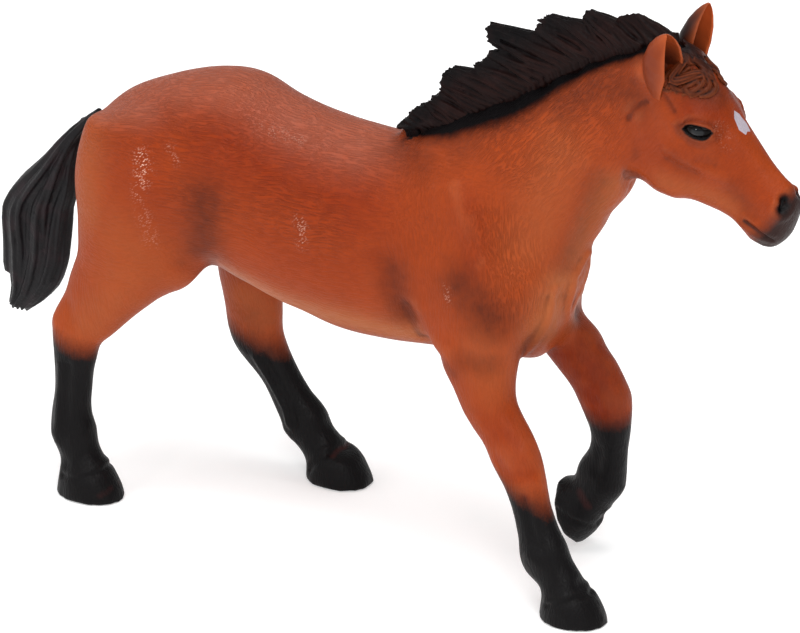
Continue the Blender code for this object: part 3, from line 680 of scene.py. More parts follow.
# %% [markdown]
# ### The eye's place
# Everything round the eye is measured from it: along the almond from corner to corner, up across it, and out
# of the head. The two corners are seen in the photograph, and the skin between them gives the third
# direction.

# %% Measure the eye
EYE_BACK, EYE_FRONT, EYE_MIDDLE = (683.5, 129.0), (711.0, 134.0), (697, 132)
LID_TOP, LID_BOTTOM = 0.47, 0.45
back_corner, front_corner = on_skin(tree, *EYE_BACK)[0], on_skin(tree, *EYE_FRONT)[0]
eye_centre = (back_corner + front_corner) / 2
eye_half = np.linalg.norm(front_corner - back_corner) / 2
eye_along = (front_corner - back_corner) / (2 * eye_half)
eye_out = on_skin(tree, *EYE_MIDDLE)[1]
eye_out -= eye_out @ eye_along * eye_along
eye_out /= np.linalg.norm(eye_out)
eye_up = np.cross(eye_out, eye_along)
eye_up *= np.sign(eye_up[2])


def eye_places(points):
    """Places round the eye: along the almond, up across it and out of the head, in half eye lengths."""
    seen = (mirrored(points, 0.0) - eye_centre) / eye_half
    return seen @ eye_along, seen @ eye_up, seen @ eye_out


def off_lids(along, up):
    """How far outside the almond a place lies, negative inside it, and how far above the almond's middle."""
    within = np.clip(along, -1.0, 1.0)
    bow = np.clip(1.0 - within * within, 0.0, 1.0)
    upper = LID_TOP * (bow * (1.0 - 0.10 * within)) ** 0.58
    lower = -LID_BOTTOM * (bow * (1.0 + 0.2 * within)) ** 0.58
    raised = up - (upper + lower) / 2
    half = np.maximum((upper - lower) / 2, 0.02)
    past = np.abs(along) - 1.0
    return np.where(past < 0.0, np.abs(raised) - half, np.hypot(past, raised)), raised


print("eye:", round(2 * eye_half, 2), "mm long")

# %% [markdown]
# ### The lids
# The upper lid overhangs and has a crease above it, and the lower one is a thin rim with a soft bag. Each is
# a ring round the almond, raised or pressed by its distance from the almond's edge. Inside the edge the skin
# goes in, and the eyeball shows there.

# %% Carve the lids
SOCKET_DEPTH = 0.50


def ring(beyond, distance, width):
    """1 at a distance outside the almond, fading over a width, both in half lengths of the eye."""
    return np.exp(-(((beyond - distance) / width) ** 2))


at, facing = horse(points_of(coat.data)), normals_of(coat.data)
along, up, out = eye_places(at)
beyond, raised = off_lids(along, up)
above = ramp(raised, -0.1, 0.3)
rise = -SOCKET_DEPTH * (1.0 - ramp(beyond, -0.07, 0.03))
rise += (0.10 + 0.08 * above) * ring(beyond, 0.12, 0.09)
rise -= 0.07 * ring(beyond, 0.33, 0.08) * above
rise += 0.14 * ring(beyond, 0.62, 0.26) * above
rise += 0.06 * ring(beyond, 0.40, 0.20) * (1.0 - above)
rise -= 0.06 * ring(beyond, 0.75, 0.20) * (1.0 - above)
close = np.exp(-((out / 1.2) ** 2)) * (np.abs(along) < 2.6)
at += facing * (rise * close)[:, None]
put_points(coat.data, metres(at))
print("lids: from", round(float(rise.min()), 2), "to", round(float(rise.max()), 2), "mm")

# %% [markdown]
# ### The nostril and the mouth
# The nostril is a comma cut deep into the muzzle, with a raised wing before it. The mouth is one thin groove
# between two full lips.

# %% Cut the nostril and the mouth
NOSTRIL = ((784, 200), (784.5, 205), (781.5, 210))
tree = skin_tree()
MUZZLE = (
    (NOSTRIL, 0.62, -0.85),
    (((775, 214), (775, 204), (780, 195), (788, 191)), 0.55, 0.16),
    (((780, 220), (787, 217), (793, 209)), 0.5, 0.10),
    (((746, 222), (755, 229), (764, 236), (772, 241)), 0.26, -0.34),
    (((746, 218), (755, 225), (765, 231), (775, 235)), 0.5, 0.12),
    (((744, 226), (753, 233), (762, 239)), 0.5, 0.12),
    (((764, 205), (762, 216), (758, 222)), 0.8, -0.16),
)
sculpt(coat.data, tree, MUZZLE, 0.0)
relax(coat.data, 2, head_share)
tree = skin_tree()
print("strokes on the muzzle:", len(MUZZLE))

# %% [markdown]
# ## Where the paint goes
# The figure is painted by airbrush and brush over bay PVC. Each paint has a mask, a number from 0 to 1
# stored at every point of the skin, and the material mixes the colours by these masks. Masks are drawn as
# lines with a width that fades, like passes of an airbrush, on the places that the photograph shows.

# %% Find the mane's foot
# Where the mane grows on the neck's crest, seen in the photograph, and half the mane's thickness there
ROOT_LINE = np.array((
    (397, 129), (425, 127), (454, 122), (480, 110), (512, 96),
    (554, 70), (585, 58), (611, 50), (640, 45), (668, 40),
), dtype=float)
MANE_HALF = 1.42


def root_at(u, left):
    """A place on the mane's root line."""
    return on_plane(u, np.interp(u, ROOT_LINE[:, 0], ROOT_LINE[:, 1]), left)


print("the mane grows from", np.round(root_at(397, 0.0), 1), "to", np.round(root_at(668, 0.0), 1), "mm")

# %% [markdown]
# ### Tools for masks
# A line fades with the distance from it, and an outline is filled. Where a mould leaves hollows, paint
# gathers and shade falls, and both are painted there: they are found by comparing the skin with a smoothed
# copy of itself.

# %% Mask tools
def inside(seen, outline):
    """How many pixels places lie inside an outline drawn on the photograph. It is negative outside."""
    outline = np.array(outline, dtype=float)
    best = np.full(len(seen), np.inf)
    odd = np.zeros(len(seen), dtype=bool)
    for start, end in zip(outline, np.roll(outline, -1, axis=0)):
        way = end - start
        share = np.clip((seen - start) @ way / (way @ way), 0.0, 1.0)
        best = np.minimum(best, np.linalg.norm(seen - start - share[:, None] * way, axis=1))
        crosses = (start[1] > seen[:, 1]) != (end[1] > seen[:, 1])
        odd ^= crosses & (seen[:, 0] < start[0] + (seen[:, 1] - start[1]) * way[0] / (way[1] or 1e-9))
    return np.where(odd, best, -best)


def give(mesh, name, values):
    """Stores a mask on a mesh's points."""
    mesh.attributes.new(name, "FLOAT", "POINT").data.foreach_set("value", np.clip(values, 0.0, 1.0))


def hollows(mesh, rounds):
    """How deep each point lies below the evened surface round it, in mm. It is negative on a ridge."""
    points, links = horse(points_of(mesh)), links_of(mesh)
    even = points
    for _ in range(rounds):
        even = neighbour_mean(even, links)
    return np.einsum("ij,ij->i", even - points, normals_of(mesh))


# %% [markdown]
# ### Passes of the airbrush
# Under the red coat the belly, the groin and the buttocks are paler. Brown shade lies in the flank, behind
# the elbow and on the shoulder, and a deeper red on the back. Rubbed places on the black show bay. Small
# glints of light on the haunch and the flank are painted in as highlights.

# %% Spray the passes
# Each pass: a line of pixels, its width in mm, its strength, and the plane that it is mirrored in.
# A pass with None stays on the near side.
PASSES = {
    "pale": (
        (((120, 235), (138, 262), (120, 290)), 5.0, 0.30, 0.0),
        (((88, 150), (86, 210)), 3.4, 0.45, 0.0),
        (((112, 300), (88, 325)), 3.0, 0.35, -8.3),
        (((236, 276), (290, 303), (350, 322), (410, 334)), 2.4, 0.95, 0.0),
        (((612, 186), (590, 225), (575, 262)), 2.2, 0.60, 0.0),
        (((560, 150), (545, 205), (530, 250)), 3.6, 0.30, 0.0),
        (((562, 285), (545, 330)), 3.0, 0.85, 0.0),
        (((482, 352), (498, 385)), 3.0, 0.25, -9.0),
        (((665, 182), (700, 192), (730, 206)), 1.6, 0.35, 0.0),
        (((247, 300), (258, 315)), 3.0, 0.45, 8.7),
    ),
    "red": (
        (((215, 135), (290, 165), (350, 195)), 6.5, 0.80, 0.0),
        (((270, 235), (340, 262), (380, 250)), 4.5, 0.35, 0.0),
        (((160, 120), (135, 150), (150, 190)), 5.5, 0.50, 0.0),
        (((466, 205), (478, 245), (470, 268)), 1.8, 0.40, 0.0),
        # The far foreleg's deeper red is partly painted shade, for the shade of the body above it
        (((600, 340), (612, 385), (622, 420)), 4.5, 0.80, 6.5),
        (((728, 100), (722, 135), (745, 180), (762, 200)), 2.2, 0.35, 0.0),
        (((690, 108), (722, 116)), 2.0, 0.70, 0.0),
        (((650, 150), (690, 165)), 3.0, 0.30, 0.0),
        (((500, 430), (522, 455)), 2.5, 0.50, -9.0),
    ),
    "brown": (
        (((205, 200), (206, 226), (203, 250)), 2.5, 0.62, 0.0),
        (((394, 272), (398, 296), (402, 312)), 2.0, 0.55, 0.0),
        (((460, 286), (474, 302), (492, 322)), 2.6, 0.66, 0.0),
        (((402, 148), (424, 160)), 2.6, 0.40, 0.0),
        (((600, 180), (582, 228), (566, 266)), 1.6, 0.34, 0.0),
        (((544, 338), (532, 348)), 1.9, 0.38, 0.0),
        (((462, 362), (480, 366), (500, 362)), 1.5, 0.35, -9.0),
        (((560, 100), (598, 84), (628, 88), (636, 100)), 2.4, 0.55, 0.0),
        (((250, 320), (262, 350)), 2.5, 0.30, 8.7),
        (((590, 345), (612, 400)), 2.5, 0.30, 6.5),
        (((458, 148), (470, 140)), 2.4, 0.35, 0.0),
        (((735, 191), (744, 204), (752, 215)), 1.3, 0.30, 0.0),
        (((676, 160), (688, 168)), 1.5, 0.26, 0.0),
        (((699, 160), (711, 163)), 1.1, 0.15, 0.0),
        (((629, 118), (640, 107), (646, 102)), 0.28, 0.40, 0.0),
        (((664, 92), (669, 102), (674, 111)), 0.40, 0.30, 0.0),
        (((668, 74), (690, 80), (704, 88), (716, 92)), 1.9, 0.80, 0.0),
        (((182, 262), (210, 266), (240, 278)), 1.2, 0.25, 0.0),
        (((436, 360), (452, 372)), 1.2, 0.30, -9.0),
        (((745, 226), (754, 236)), 1.2, 0.40, 0.0),
    ),
    # Painted highlights: light specks that stand for glints of light, on the near side only
    "painted_glint": (
        (((141, 157), (144, 168), (142, 178)), 0.85, 1.00, None),
        (((140, 182), (138, 196)), 0.7, 0.62, None),
        (((142, 212), (148, 226), (152, 244)), 0.8, 0.26, None),
        (((298, 220), (303, 228), (302, 244)), 0.60, 0.55, None),
        (((262, 128), (300, 140)), 0.8, 0.30, None),
        (((446, 288), (447, 300)), 0.45, 0.45, None),
        (((720, 128), (728, 142)), 0.7, 0.40, None),
        (((170, 146), (176, 160)), 0.6, 0.30, None),
    ),
    "hair_depth": (
        (((270, 198), (300, 212), (322, 222)), 5.0, 1.00, 0.0),
        (((175, 192), (215, 205), (262, 214)), 4.5, 0.75, 0.0),
        (((498, 228), (512, 262), (512, 292)), 4.5, 1.00, 0.0),
        (((425, 180), (455, 165)), 5.0, 0.60, 0.0),
        (((350, 215), (420, 230)), 6.0, 0.55, 0.0),
    ),
    "worn": (
        (((333, 456), (340, 449), (347, 446)), 0.35, 0.60, 8.7),
        (((580, 492), (588, 506)), 0.6, 0.45, 6.5),
        (((100, 496), (112, 488)), 0.5, 0.30, -8.3),
        (((598, 600), (600, 592)), 0.4, 0.35, -9.0),
    ),
}

at, facing = horse(points_of(coat.data)), normals_of(coat.data)
masks = {}
for name, passes in PASSES.items():
    masks[name] = np.zeros(len(at))
    for pixels, width, strength, middle in passes:
        masks[name] = np.maximum(masks[name], strength * spread(tree, at, pixels, width, middle))

# Painted shade: the far foreleg lies in the body's shade, and that shade is painted in as a deeper red all
# round
far_foreleg_shade = (at[:, 1] > 0.0) * ramp(at[:, 0], 42.0, 47.0) * (1.0 - ramp(at[:, 2], 24.0, 28.0))
masks["red"] = np.maximum(masks["red"], 0.95 * far_foreleg_shade)
# Painted sheen: the surfaces of the back and the croup that face up get a pinkish highlight, as a light above
# gives
sheen_on_top = 0.5 * ramp(facing[:, 2], 0.45, 0.95)
masks["painted_sheen"] = sheen_on_top * ramp(at[:, 2], 36.0, 44.0) * (1.0 - ramp(at[:, 0], 30.0, 40.0))
print("passes:", sum(len(passes) for passes in PASSES.values()))

# %% [markdown]
# ### Black points
# A bay horse has black legs, and a black line where the mane grows. The black is sprayed from below, so its
# edge is soft, and it reaches higher on the back of each leg.

# %% Spray the black
HIND_UNTIL, FORE_FROM = 26.0, 36.0

# The black of the legs: heights in mm where it is full and where it ends, and how much higher it starts
# behind
LEG_BLACK = (
    ((at[:, 0] < HIND_UNTIL) & (at[:, 1] < 0.0), 12.4, 18.8, 0.25, 2.0),
    ((at[:, 0] < HIND_UNTIL) & (at[:, 1] >= 0.0), 9.8, 16.4, 0.30, 17.0),
    ((at[:, 0] > FORE_FROM) & (at[:, 1] < 0.0), 9.4, 16.4, 0.40, 54.0),
    ((at[:, 0] > FORE_FROM) & (at[:, 1] >= 0.0), 13.6, 19.4, 0.0, 54.0),
)
black = np.zeros(len(at))
for leg, full, end, tilt, middle in LEG_BLACK:
    height = at[:, 2] + tilt * (at[:, 0] - middle)
    black = np.maximum(black, leg * (1.0 - ramp(height, full, end) ** 2))

# The black along the mane's foot: how wide it is, by how far forward on the neck
CREST_FORWARD = (34.7, 38.4, 41.9, 45.3, 48.7, 52.1, 55.3, 58.4, 61.5, 64.6)
CREST_WIDTH = (0.4, 1.0, 1.6, 2.0, 2.2, 2.2, 1.9, 1.6, 1.3, 1.1)
foot = np.array([root_at(u, -MANE_HALF) for u in np.linspace(416, 668, 60)])
crest = along_path(mirrored(at, 0.0), foot)
width = np.interp(at[:, 0], CREST_FORWARD, CREST_WIDTH)
above_neck = (at[:, 2] > 44.0) & (at[:, 0] < 69.5)
black = np.maximum(black, above_neck * (1.0 - ramp(crest, 0.40 * width, 1.55 * width) ** 2))
masks["matte"] = above_neck * (1.0 - ramp(crest, 1.0 * width, 1.6 * width + 0.5))
shaded = above_neck * 0.80 * (1.0 - ramp(crest, 1.0 * width, 1.6 * width + 2.2)) ** 1.5
masks["brown"] = np.maximum(masks["brown"], shaded)
on_crest = above_neck * (np.abs(at[:, 1]) < MANE_HALF) * (facing[:, 2] > 0.2)
black = np.maximum(black, on_crest * ramp(at[:, 0], 34.5, 36.5))
print("black covers", round(float(black.mean()) * 100), "%")

# %% [markdown]
# ### Face
# The star is one touch of an off-white brush. The muzzle is darkened by airbrush, the nostrils and the rims
# of the eyes are painted black by hand, and a brown shade lies round the eye.

# %% Paint the face
STAR = ((734.2, 107.5), (738, 109.2), (745, 121), (749, 127), (746, 135), (739, 130), (734.2, 118))
DARK_MUZZLE = (
    (812, 172), (800, 188), (788, 196), (781, 206), (775, 218),
    (768, 226), (759, 232), (752, 242), (760, 262), (812, 262),
)
LIP_LINE = np.array(((744, 221), (755, 229), (764, 236), (773, 242)), dtype=float)

seen = seen_in_photo(mirrored(at, 0.0))
on_head = (at[:, 0] > 66.0) & (at[:, 2] > 38.0)
masks["star"] = on_head * ramp(inside(seen, STAR), -0.9, 0.7)
muzzle_depth = inside(seen, DARK_MUZZLE)
masks["muzzle"] = on_head * (0.45 * ramp(muzzle_depth, -10.0, 0.0) + 0.55 * ramp(muzzle_depth, -3.0, 9.0))
lip = along_path(seen, LIP_LINE)
masks["muzzle"] = np.maximum(masks["muzzle"], on_head * 0.9 * np.exp(-((lip / 1.5) ** 2)))
hole = along_path(mirrored(at, 0.0), np.array([on_skin(tree, *pixel)[0] for pixel in NOSTRIL]))
along, up, out = eye_places(at)
beyond, _ = off_lids(along, up)
near_eye = on_head * (np.abs(out) < 1.2)
masks["black"] = np.maximum.reduce([
    black, on_head * 0.85 * (1.0 - ramp(hole, 0.25, 1.15)), near_eye * (1.0 - ramp(beyond, 0.03, 0.16))
])
behind = ramp(-along - 0.3 * up, -0.6, 0.9)
round_eye = near_eye * (0.35 + 0.3 * behind) * (1.0 - ramp(beyond, 0.10, 1.1))
masks["brown"] = np.maximum(masks["brown"], round_eye)
print("the star covers", round(float(masks["star"].sum())), "points")

# %% [markdown]
# ### Wash, painted shade and hair
# A thin dark wash, which is also painted shade, stays in the hollows, and the ridges are rubbed a little
# lighter, which is also a painted highlight. The sculptor's hair strokes run along the body, down the
# shoulder and the legs, and slope down the neck. They are cut deepest on the back, the flank, the shoulder
# and the neck.

# %% Store the masks
hollow = hollows(coat.data, 14)
# Painted shade in the hollows, on top of the wash, and a painted highlight on the ridges, on top of the
# rubbing
masks["wash_and_shade"] = ramp(hollow, 0.015, 0.100)
masks["rub_and_highlight"] = ramp(-hollow, 0.01, 0.09)
down_shoulder = ramp(at[:, 0], 34.0, 40.0) * (1.0 - ramp(at[:, 2], 44.0, 50.0))
masks["hair_down"] = np.maximum(down_shoulder, 1.0 - ramp(at[:, 2], 24.0, 28.0))
masks["hair_slope"] = ramp(at[:, 0] * 0.6 + at[:, 2] * 0.8, 64.0, 70.0)
on_back = 0.25 + 0.65 * ramp(at[:, 2], 38.0, 47.0) * (1.0 - ramp(at[:, 0], 34.0, 42.0))
on_neck = masks["hair_slope"] * (1.0 - ramp(at[:, 0], 62.0, 67.0)) * (1.0 - 0.7 * ramp(crest, 7.0, 13.0))
masks["hair_depth"] = np.maximum.reduce([masks["hair_depth"], on_back, on_neck])
for name, values in masks.items():
    give(coat.data, name, values)
    print("mask", name, "covers", round(float(values.mean()) * 100), "%")

# %% [markdown]
# ## One piece for each solid
# The skin is cut where the solids part, so each piece of the figure stays a piece that can be taken off.
# Each keeps the whole skin's normals, so that light runs over a joint without a break, as over filled and
# painted joints.

# %% Find each place's piece
# Each cut: a place on it, and its pitch
NECK_CUT = (38.5, 0.0, 50.5), math.radians(37.4)
HIND_CUT = (4.1, 0.0, 26.8), math.radians(11.0)
FORE_CUT = (44.0, 0.0, 23.45), math.radians(-14.0)
CHEST_FROM, LEGS_BELOW = 42.0, 33.0


def above_cut(points, cut):
    """How far each place lies above a cut, in millimetres."""
    spot, pitch = cut
    return (points - np.array(spot)) @ np.array((math.sin(pitch), 0.0, math.cos(pitch)))


def piece_of(points):
    """The solid that each place belongs to, as an index into SKIN_NODES."""
    forward, left, up = points.T
    owner = np.zeros(len(points), dtype=int)
    owner[above_cut(points, NECK_CUT) > 0.0] = 1
    hind = (above_cut(points, HIND_CUT) < 0.0) & (forward < HIND_UNTIL) & (owner == 0)
    fore = (above_cut(points, FORE_CUT) < 0.0) & (forward > CHEST_FROM) & (up < LEGS_BELOW)
    owner[hind & (left < 0.0)] = 2
    owner[hind & (left >= 0.0)] = 3
    owner[fore & (left < 0.0)] = 4
    owner[fore & (left >= 0.0)] = 5
    return owner


counts = np.bincount(piece_of(at), minlength=len(SKIN_NODES))
print("points of each piece:", {name: int(count) for name, count in zip(SKIN_NODES, counts)})

# %% [markdown]
# ### Cut and cap
# The faces near a cut are divided along its plane, so that the pieces' edges come out straight. Each piece
# is then a copy of the whole skin without the other pieces' faces, and its open ends are capped.

# %% Part the skin
def part_skin():
    """Cuts the coat into its pieces."""
    whole = bmesh.new()
    whole.from_mesh(coat.data)
    keep = whole.verts.layers.float_vector.new("whole_normal")
    whole.normal_update()
    for vertex in whole.verts:
        vertex[keep] = vertex.normal
    for (spot, pitch), (rear, front, top) in (
        (NECK_CUT, (30.0, math.inf, math.inf)),
        (HIND_CUT, (-math.inf, HIND_UNTIL, LEGS_BELOW)),
        (FORE_CUT, (CHEST_FROM, math.inf, LEGS_BELOW)),
    ):
        centres = horse([face.calc_center_median() for face in whole.faces])
        reached = (centres[:, 0] > rear) & (centres[:, 0] < front) & (centres[:, 2] < top)
        near = [face for face, inside_reach in zip(whole.faces, reached) if inside_reach]
        geometry = near + list({edge for face in near for edge in face.edges})
        geometry += list({vertex for face in near for vertex in face.verts})
        way = Vector((math.sin(pitch), 0.0, math.cos(pitch)))
        bmesh.ops.bisect_plane(whole, geom=geometry, dist=1e-9, plane_co=Vector(metres(spot)), plane_no=way)
    centres = horse([face.calc_center_median() for face in whole.faces])
    for face, owner in zip(whole.faces, piece_of(centres)):
        face.material_index = int(owner)
    made = {}
    for index, name in enumerate(SKIN_NODES):
        piece = whole.copy()
        others = [face for face in piece.faces if face.material_index != index]
        bmesh.ops.delete(piece, geom=others, context="FACES")
        rims = [edge for edge in piece.edges if edge.is_boundary]
        bmesh.ops.holes_fill(piece, edges=rims, sides=0)
        for face in piece.faces:
            face.material_index = 0
            face.smooth = True
        made[name] = new_object("skin_" + name, piece)
        layer = made[name].data.attributes["whole_normal"]
        normals = np.empty(len(made[name].data.vertices) * 3)
        layer.data.foreach_get("vector", normals)
        normals = normals.reshape(-1, 3)
        normals /= np.maximum(np.linalg.norm(normals, axis=1), 1e-9)[:, None]
        made[name].data.attributes.remove(layer)
        made[name].data.normals_split_custom_set_from_vertices(normals)
    whole.free()
    return made


skins = part_skin()
for name, made in skins.items():
    print(name, len(made.data.polygons), "faces")

# %% [markdown]
# ## Hair
# Mane, forelock and tail are cast as solid tufts, with the strands cut into their faces. They are built from
# strands here: every lock has a root on the crest, a tip where the photograph shows one, and a handful of
# strands between, on the near side, on the far side and in the core. Geometry Nodes give each strand its
# round section with the width it has along its way.

# %% Give strands their width
def strand_nodes():
    """A node group that gives curves a round section as wide as their radius."""
    group = bpy.data.node_groups.new("strands", "GeometryNodeTree")
    for name, in_out, kind in (
        ("Geometry", "INPUT", "Geometry"), ("Sides", "INPUT", "Int"), ("Finish", "INPUT", "Material"),
        ("Geometry", "OUTPUT", "Geometry"),
    ):
        group.interface.new_socket(name, in_out=in_out, socket_type="NodeSocket" + kind)
    start, end = group.nodes.new("NodeGroupInput"), group.nodes.new("NodeGroupOutput")
    section = add_node(group, "GeometryNodeCurvePrimitiveCircle", Resolution=start.outputs["Sides"])
    section.inputs["Radius"].default_value = 1.0
    width = add_node(group, "GeometryNodeInputRadius")
    tube = add_node(
        group,
        "GeometryNodeCurveToMesh",
        Curve=start.outputs["Geometry"],
        Profile_Curve=section.outputs["Curve"],
        Scale=width.outputs["Radius"],
        Fill_Caps=True,
    )
    real = add_node(group, "GeometryNodeRealizeInstances", Geometry=tube.outputs["Mesh"])
    painted = add_node(
        group, "GeometryNodeSetMaterial", Geometry=real.outputs["Geometry"], Material=start.outputs["Finish"]
    )
    group.links.new(painted.outputs["Geometry"], end.inputs["Geometry"])
    return group


STRANDS = strand_nodes()
print("strand nodes:", len(STRANDS.nodes))

# %% [markdown]
# ### From strands to a cast piece
# In the mould the strands of a tuft are one solid piece with grooves between them. A fine voxel skin melts
# the strands together in the same way, and two rounds of relaxing take its steps.

# %% Cast a tuft
STRAND_SIDES = 8


def tuft(name, strands, grain, finish):
    """A cast piece of hair from strands, each a list of places with radii, in millimetres."""
    curve = bpy.data.curves.new(name, "CURVE")
    curve.dimensions = "3D"
    for points, radii in strands:
        spline = curve.splines.new("POLY")
        spline.points.add(len(points) - 1)
        flat = np.column_stack([metres(points), np.ones(len(points))])
        spline.points.foreach_set("co", flat.ravel())
        spline.points.foreach_set("radius", np.asarray(radii) * MM)
    piece = bpy.data.objects.new(name, curve)
    bpy.context.scene.collection.objects.link(piece)
    wide = piece.modifiers.new("strands", "NODES")
    wide.node_group = STRANDS
    for item in STRANDS.interface.items_tree:
        if item.name == "Sides":
            wide[item.identifier] = STRAND_SIDES
        if item.name == "Finish":
            wide[item.identifier] = finish
    mesh = bpy.data.meshes.new_from_object(piece.evaluated_get(bpy.context.evaluated_depsgraph_get()))
    bpy.data.objects.remove(piece)
    cast = bpy.data.objects.new(name, mesh)
    bpy.context.scene.collection.objects.link(cast)
    voxel_skin(cast, grain)
    dropped = keep_largest(cast)
    relax(cast.data, 2)
    cast.data.materials.clear()
    cast.data.materials.append(finish)
    cast.data.shade_smooth()
    print(name, len(strands), "strands,", len(cast.data.polygons), "faces, pockets dropped:", dropped)
    return cast


def shade_relief(cast, rounds, low, high):
    """Marks the grooves between the strands for painted shade, from a low to a high depth in millimetres, and
    the ridges for a painted highlight.
    """
    hollow = hollows(cast.data, rounds)
    give(cast.data, "wash_and_shade", ramp(hollow, low, high))
    give(cast.data, "rub_and_highlight", ramp(-hollow, 0.01, 0.06))


def bent(start, middle, end, count):
    """A curve from start to end that heads for the middle."""
    share = np.linspace(0.0, 1.0, count)[:, None]
    return (1 - share) ** 2 * start + 2 * share * (1 - share) * middle + share**2 * end


# %% [markdown]
# ### Hair paint
# The hair is black acrylic over bay PVC. Brush and use leave it a little uneven, from blue black to a dark
# red brown where the bay shines through. There the grooves between the strands get painted shade and the
# ridges a painted highlight. Strokes finer than the cast strands, 0.15 mm wide, are cut into it. The
# forelock's curls near the eye are left brown.

# %% Paint the hair
black_hair = bpy.data.materials.new("acrylic on PVC, black hair")
tail_paint = bpy.data.materials.new("acrylic on PVC, worn black tail")
curl_paint = bpy.data.materials.new("acrylic on PVC, brown curls")
for paint, darkest, warmest, bay_low, bay_high, bay_ridge_highlight, shine in (
    (black_hair, "080607", "190e0e", "1c0c0a", "2a120d", "34180f", 0.06),
    (tail_paint, "121012", "22171a", "1c0c0a", "2a120d", "34180f", 0.14),
    (curl_paint, "120b0c", "26120f", "3c180b", "5c2811", "8a4424", 0.08),
):
    paint.use_nodes = True
    nodes = paint.node_tree
    shader = nodes.nodes["Principled BSDF"]
    where = add_node(nodes, "ShaderNodeTexCoord").outputs["Object"]
    patches = add_node(
        nodes, "ShaderNodeTexNoise", Vector=where, Scale=1.0 / (2.4 * MM), Detail=4.0, Roughness=0.6
    ).outputs["Fac"]
    lay = add_node(
        nodes, "ShaderNodeMapping", {"vector_type": "TEXTURE"}, Vector=where,
        Rotation=(0.0, math.radians(35.0), 0.0), Scale=(1.6 * MM, 0.16 * MM, 0.16 * MM),
    ).outputs["Vector"]
    strokes = add_node(nodes, "ShaderNodeTexNoise", Vector=lay, Scale=1.0, Detail=2.0).outputs["Fac"]
    share = add_node(
        nodes, "ShaderNodeMapRange", {"interpolation_type": "SMOOTHSTEP"},
        i0=patches, i1=0.46, i2=0.70, i3=0.0, i4=0.8,
    ).outputs["Result"]
    colour = add_node(
        nodes, "ShaderNodeMix", {"data_type": "RGBA"}, i0=share, i6=srgb(darkest), i7=srgb(warmest)
    ).outputs[2]
    bay = add_node(nodes, "ShaderNodeAttribute", {"attribute_name": "brown"}).outputs["Fac"]
    uneven = add_node(
        nodes, "ShaderNodeMix", {"data_type": "RGBA"}, i0=patches, i6=srgb(bay_low), i7=srgb(bay_high)
    ).outputs[2]
    # Painted shade in the grooves between the strands, and a painted highlight on their ridges
    for name, code, most in (("wash_and_shade", "120706", 0.9), ("rub_and_highlight", bay_ridge_highlight, 0.4)):
        amount = add_node(nodes, "ShaderNodeAttribute", {"attribute_name": name}).outputs["Fac"]
        share = add_node(
            nodes, "ShaderNodeMath", {"operation": "MULTIPLY"}, i0=amount, i1=most
        ).outputs["Value"]
        uneven = add_node(
            nodes, "ShaderNodeMix", {"data_type": "RGBA"}, i0=share, i6=uneven, i7=srgb(code)
        ).outputs[2]
    colour = add_node(nodes, "ShaderNodeMix", {"data_type": "RGBA"}, i0=bay, i6=colour, i7=uneven).outputs[2]
    nodes.links.new(colour, shader.inputs["Base Color"])
    gloss = add_node(
        nodes, "ShaderNodeMapRange", i0=strokes, i1=0.3, i2=0.7, i3=0.36, i4=0.52
    ).outputs["Result"]
    nodes.links.new(gloss, shader.inputs["Roughness"])
    cut = add_node(
        nodes, "ShaderNodeBump", Height=strokes, Strength=0.7, Distance=0.05 * MM
    ).outputs["Normal"]
    nodes.links.new(cut, shader.inputs["Normal"])
    shader.inputs["IOR"].default_value = 1.5
    shader.inputs["Specular IOR Level"].default_value = shine
print("hair paints:", ", ".join(paint.name for paint in (black_hair, tail_paint, curl_paint)))

# %% [markdown]
# ### The mane
# It stands up, tousled, its locks blown back. Each row below is one lock: where it grows on the root line,
# and the two corners of its tip on the outline that the photograph shows.

# %% Measure the locks
LOCKS = (
    (404, 426, (396, 127), (404, 119)),
    (420, 440, (405, 119), (414, 108)),
    (436, 456, (414, 108), (425, 103)),
    (448, 470, (425, 104), (433, 95)),
    (462, 484, (433, 97), (442, 90)),
    (474, 498, (440, 88), (439, 78)),
    (486, 512, (440, 79), (446, 70)),
    (498, 518, (446, 70), (453, 66)),
    (506, 526, (454, 67), (468, 71)),
    (516, 534, (472, 68), (475, 62)),
    (524, 544, (479, 63), (487, 58)),
    (532, 554, (486, 55), (493, 49)),
    (542, 562, (489, 42), (487, 35)),
    (548, 568, (488, 37), (486, 28)),
    (552, 572, (485, 30), (488, 22)),
    (562, 578, (497, 28), (508, 33)),
    (570, 588, (515, 34), (534, 33)),
    (576, 594, (534, 31), (537, 22)),
    (584, 602, (538, 20), (548, 14)),
    (594, 612, (549, 14), (562, 17)),
    (604, 620, (565, 18), (580, 22)),
    (610, 628, (583, 18), (586, 10)),
    (618, 636, (589, 10), (600, 16)),
    (626, 642, (602, 17), (614, 21)),
    (634, 650, (616, 19), (620, 15)),
    (642, 658, (622, 15), (638, 13)),
    (650, 664, (640, 14), (652, 22)),
    (656, 670, (653, 23), (664, 35)),
)
print("locks:", len(LOCKS))

# %% [markdown]
# ### The strands of a lock
# They start side by side on the crest, bend back and end between the two corners of the tip. Small random
# shifts keep them from lying as straight as the teeth of a comb. Thick strands in the middle make the tuft
# solid.

# %% Grow the mane
rng = np.random.default_rng(11)
LOCK_STRANDS, LOCK_CORES, LOCK_STEPS = 7, 3, 16
MANE_GRAIN = 0.1065

# Between these pixels of the root line the mane gets thinner, towards the ears
THINNING = (640.0, 666.0)


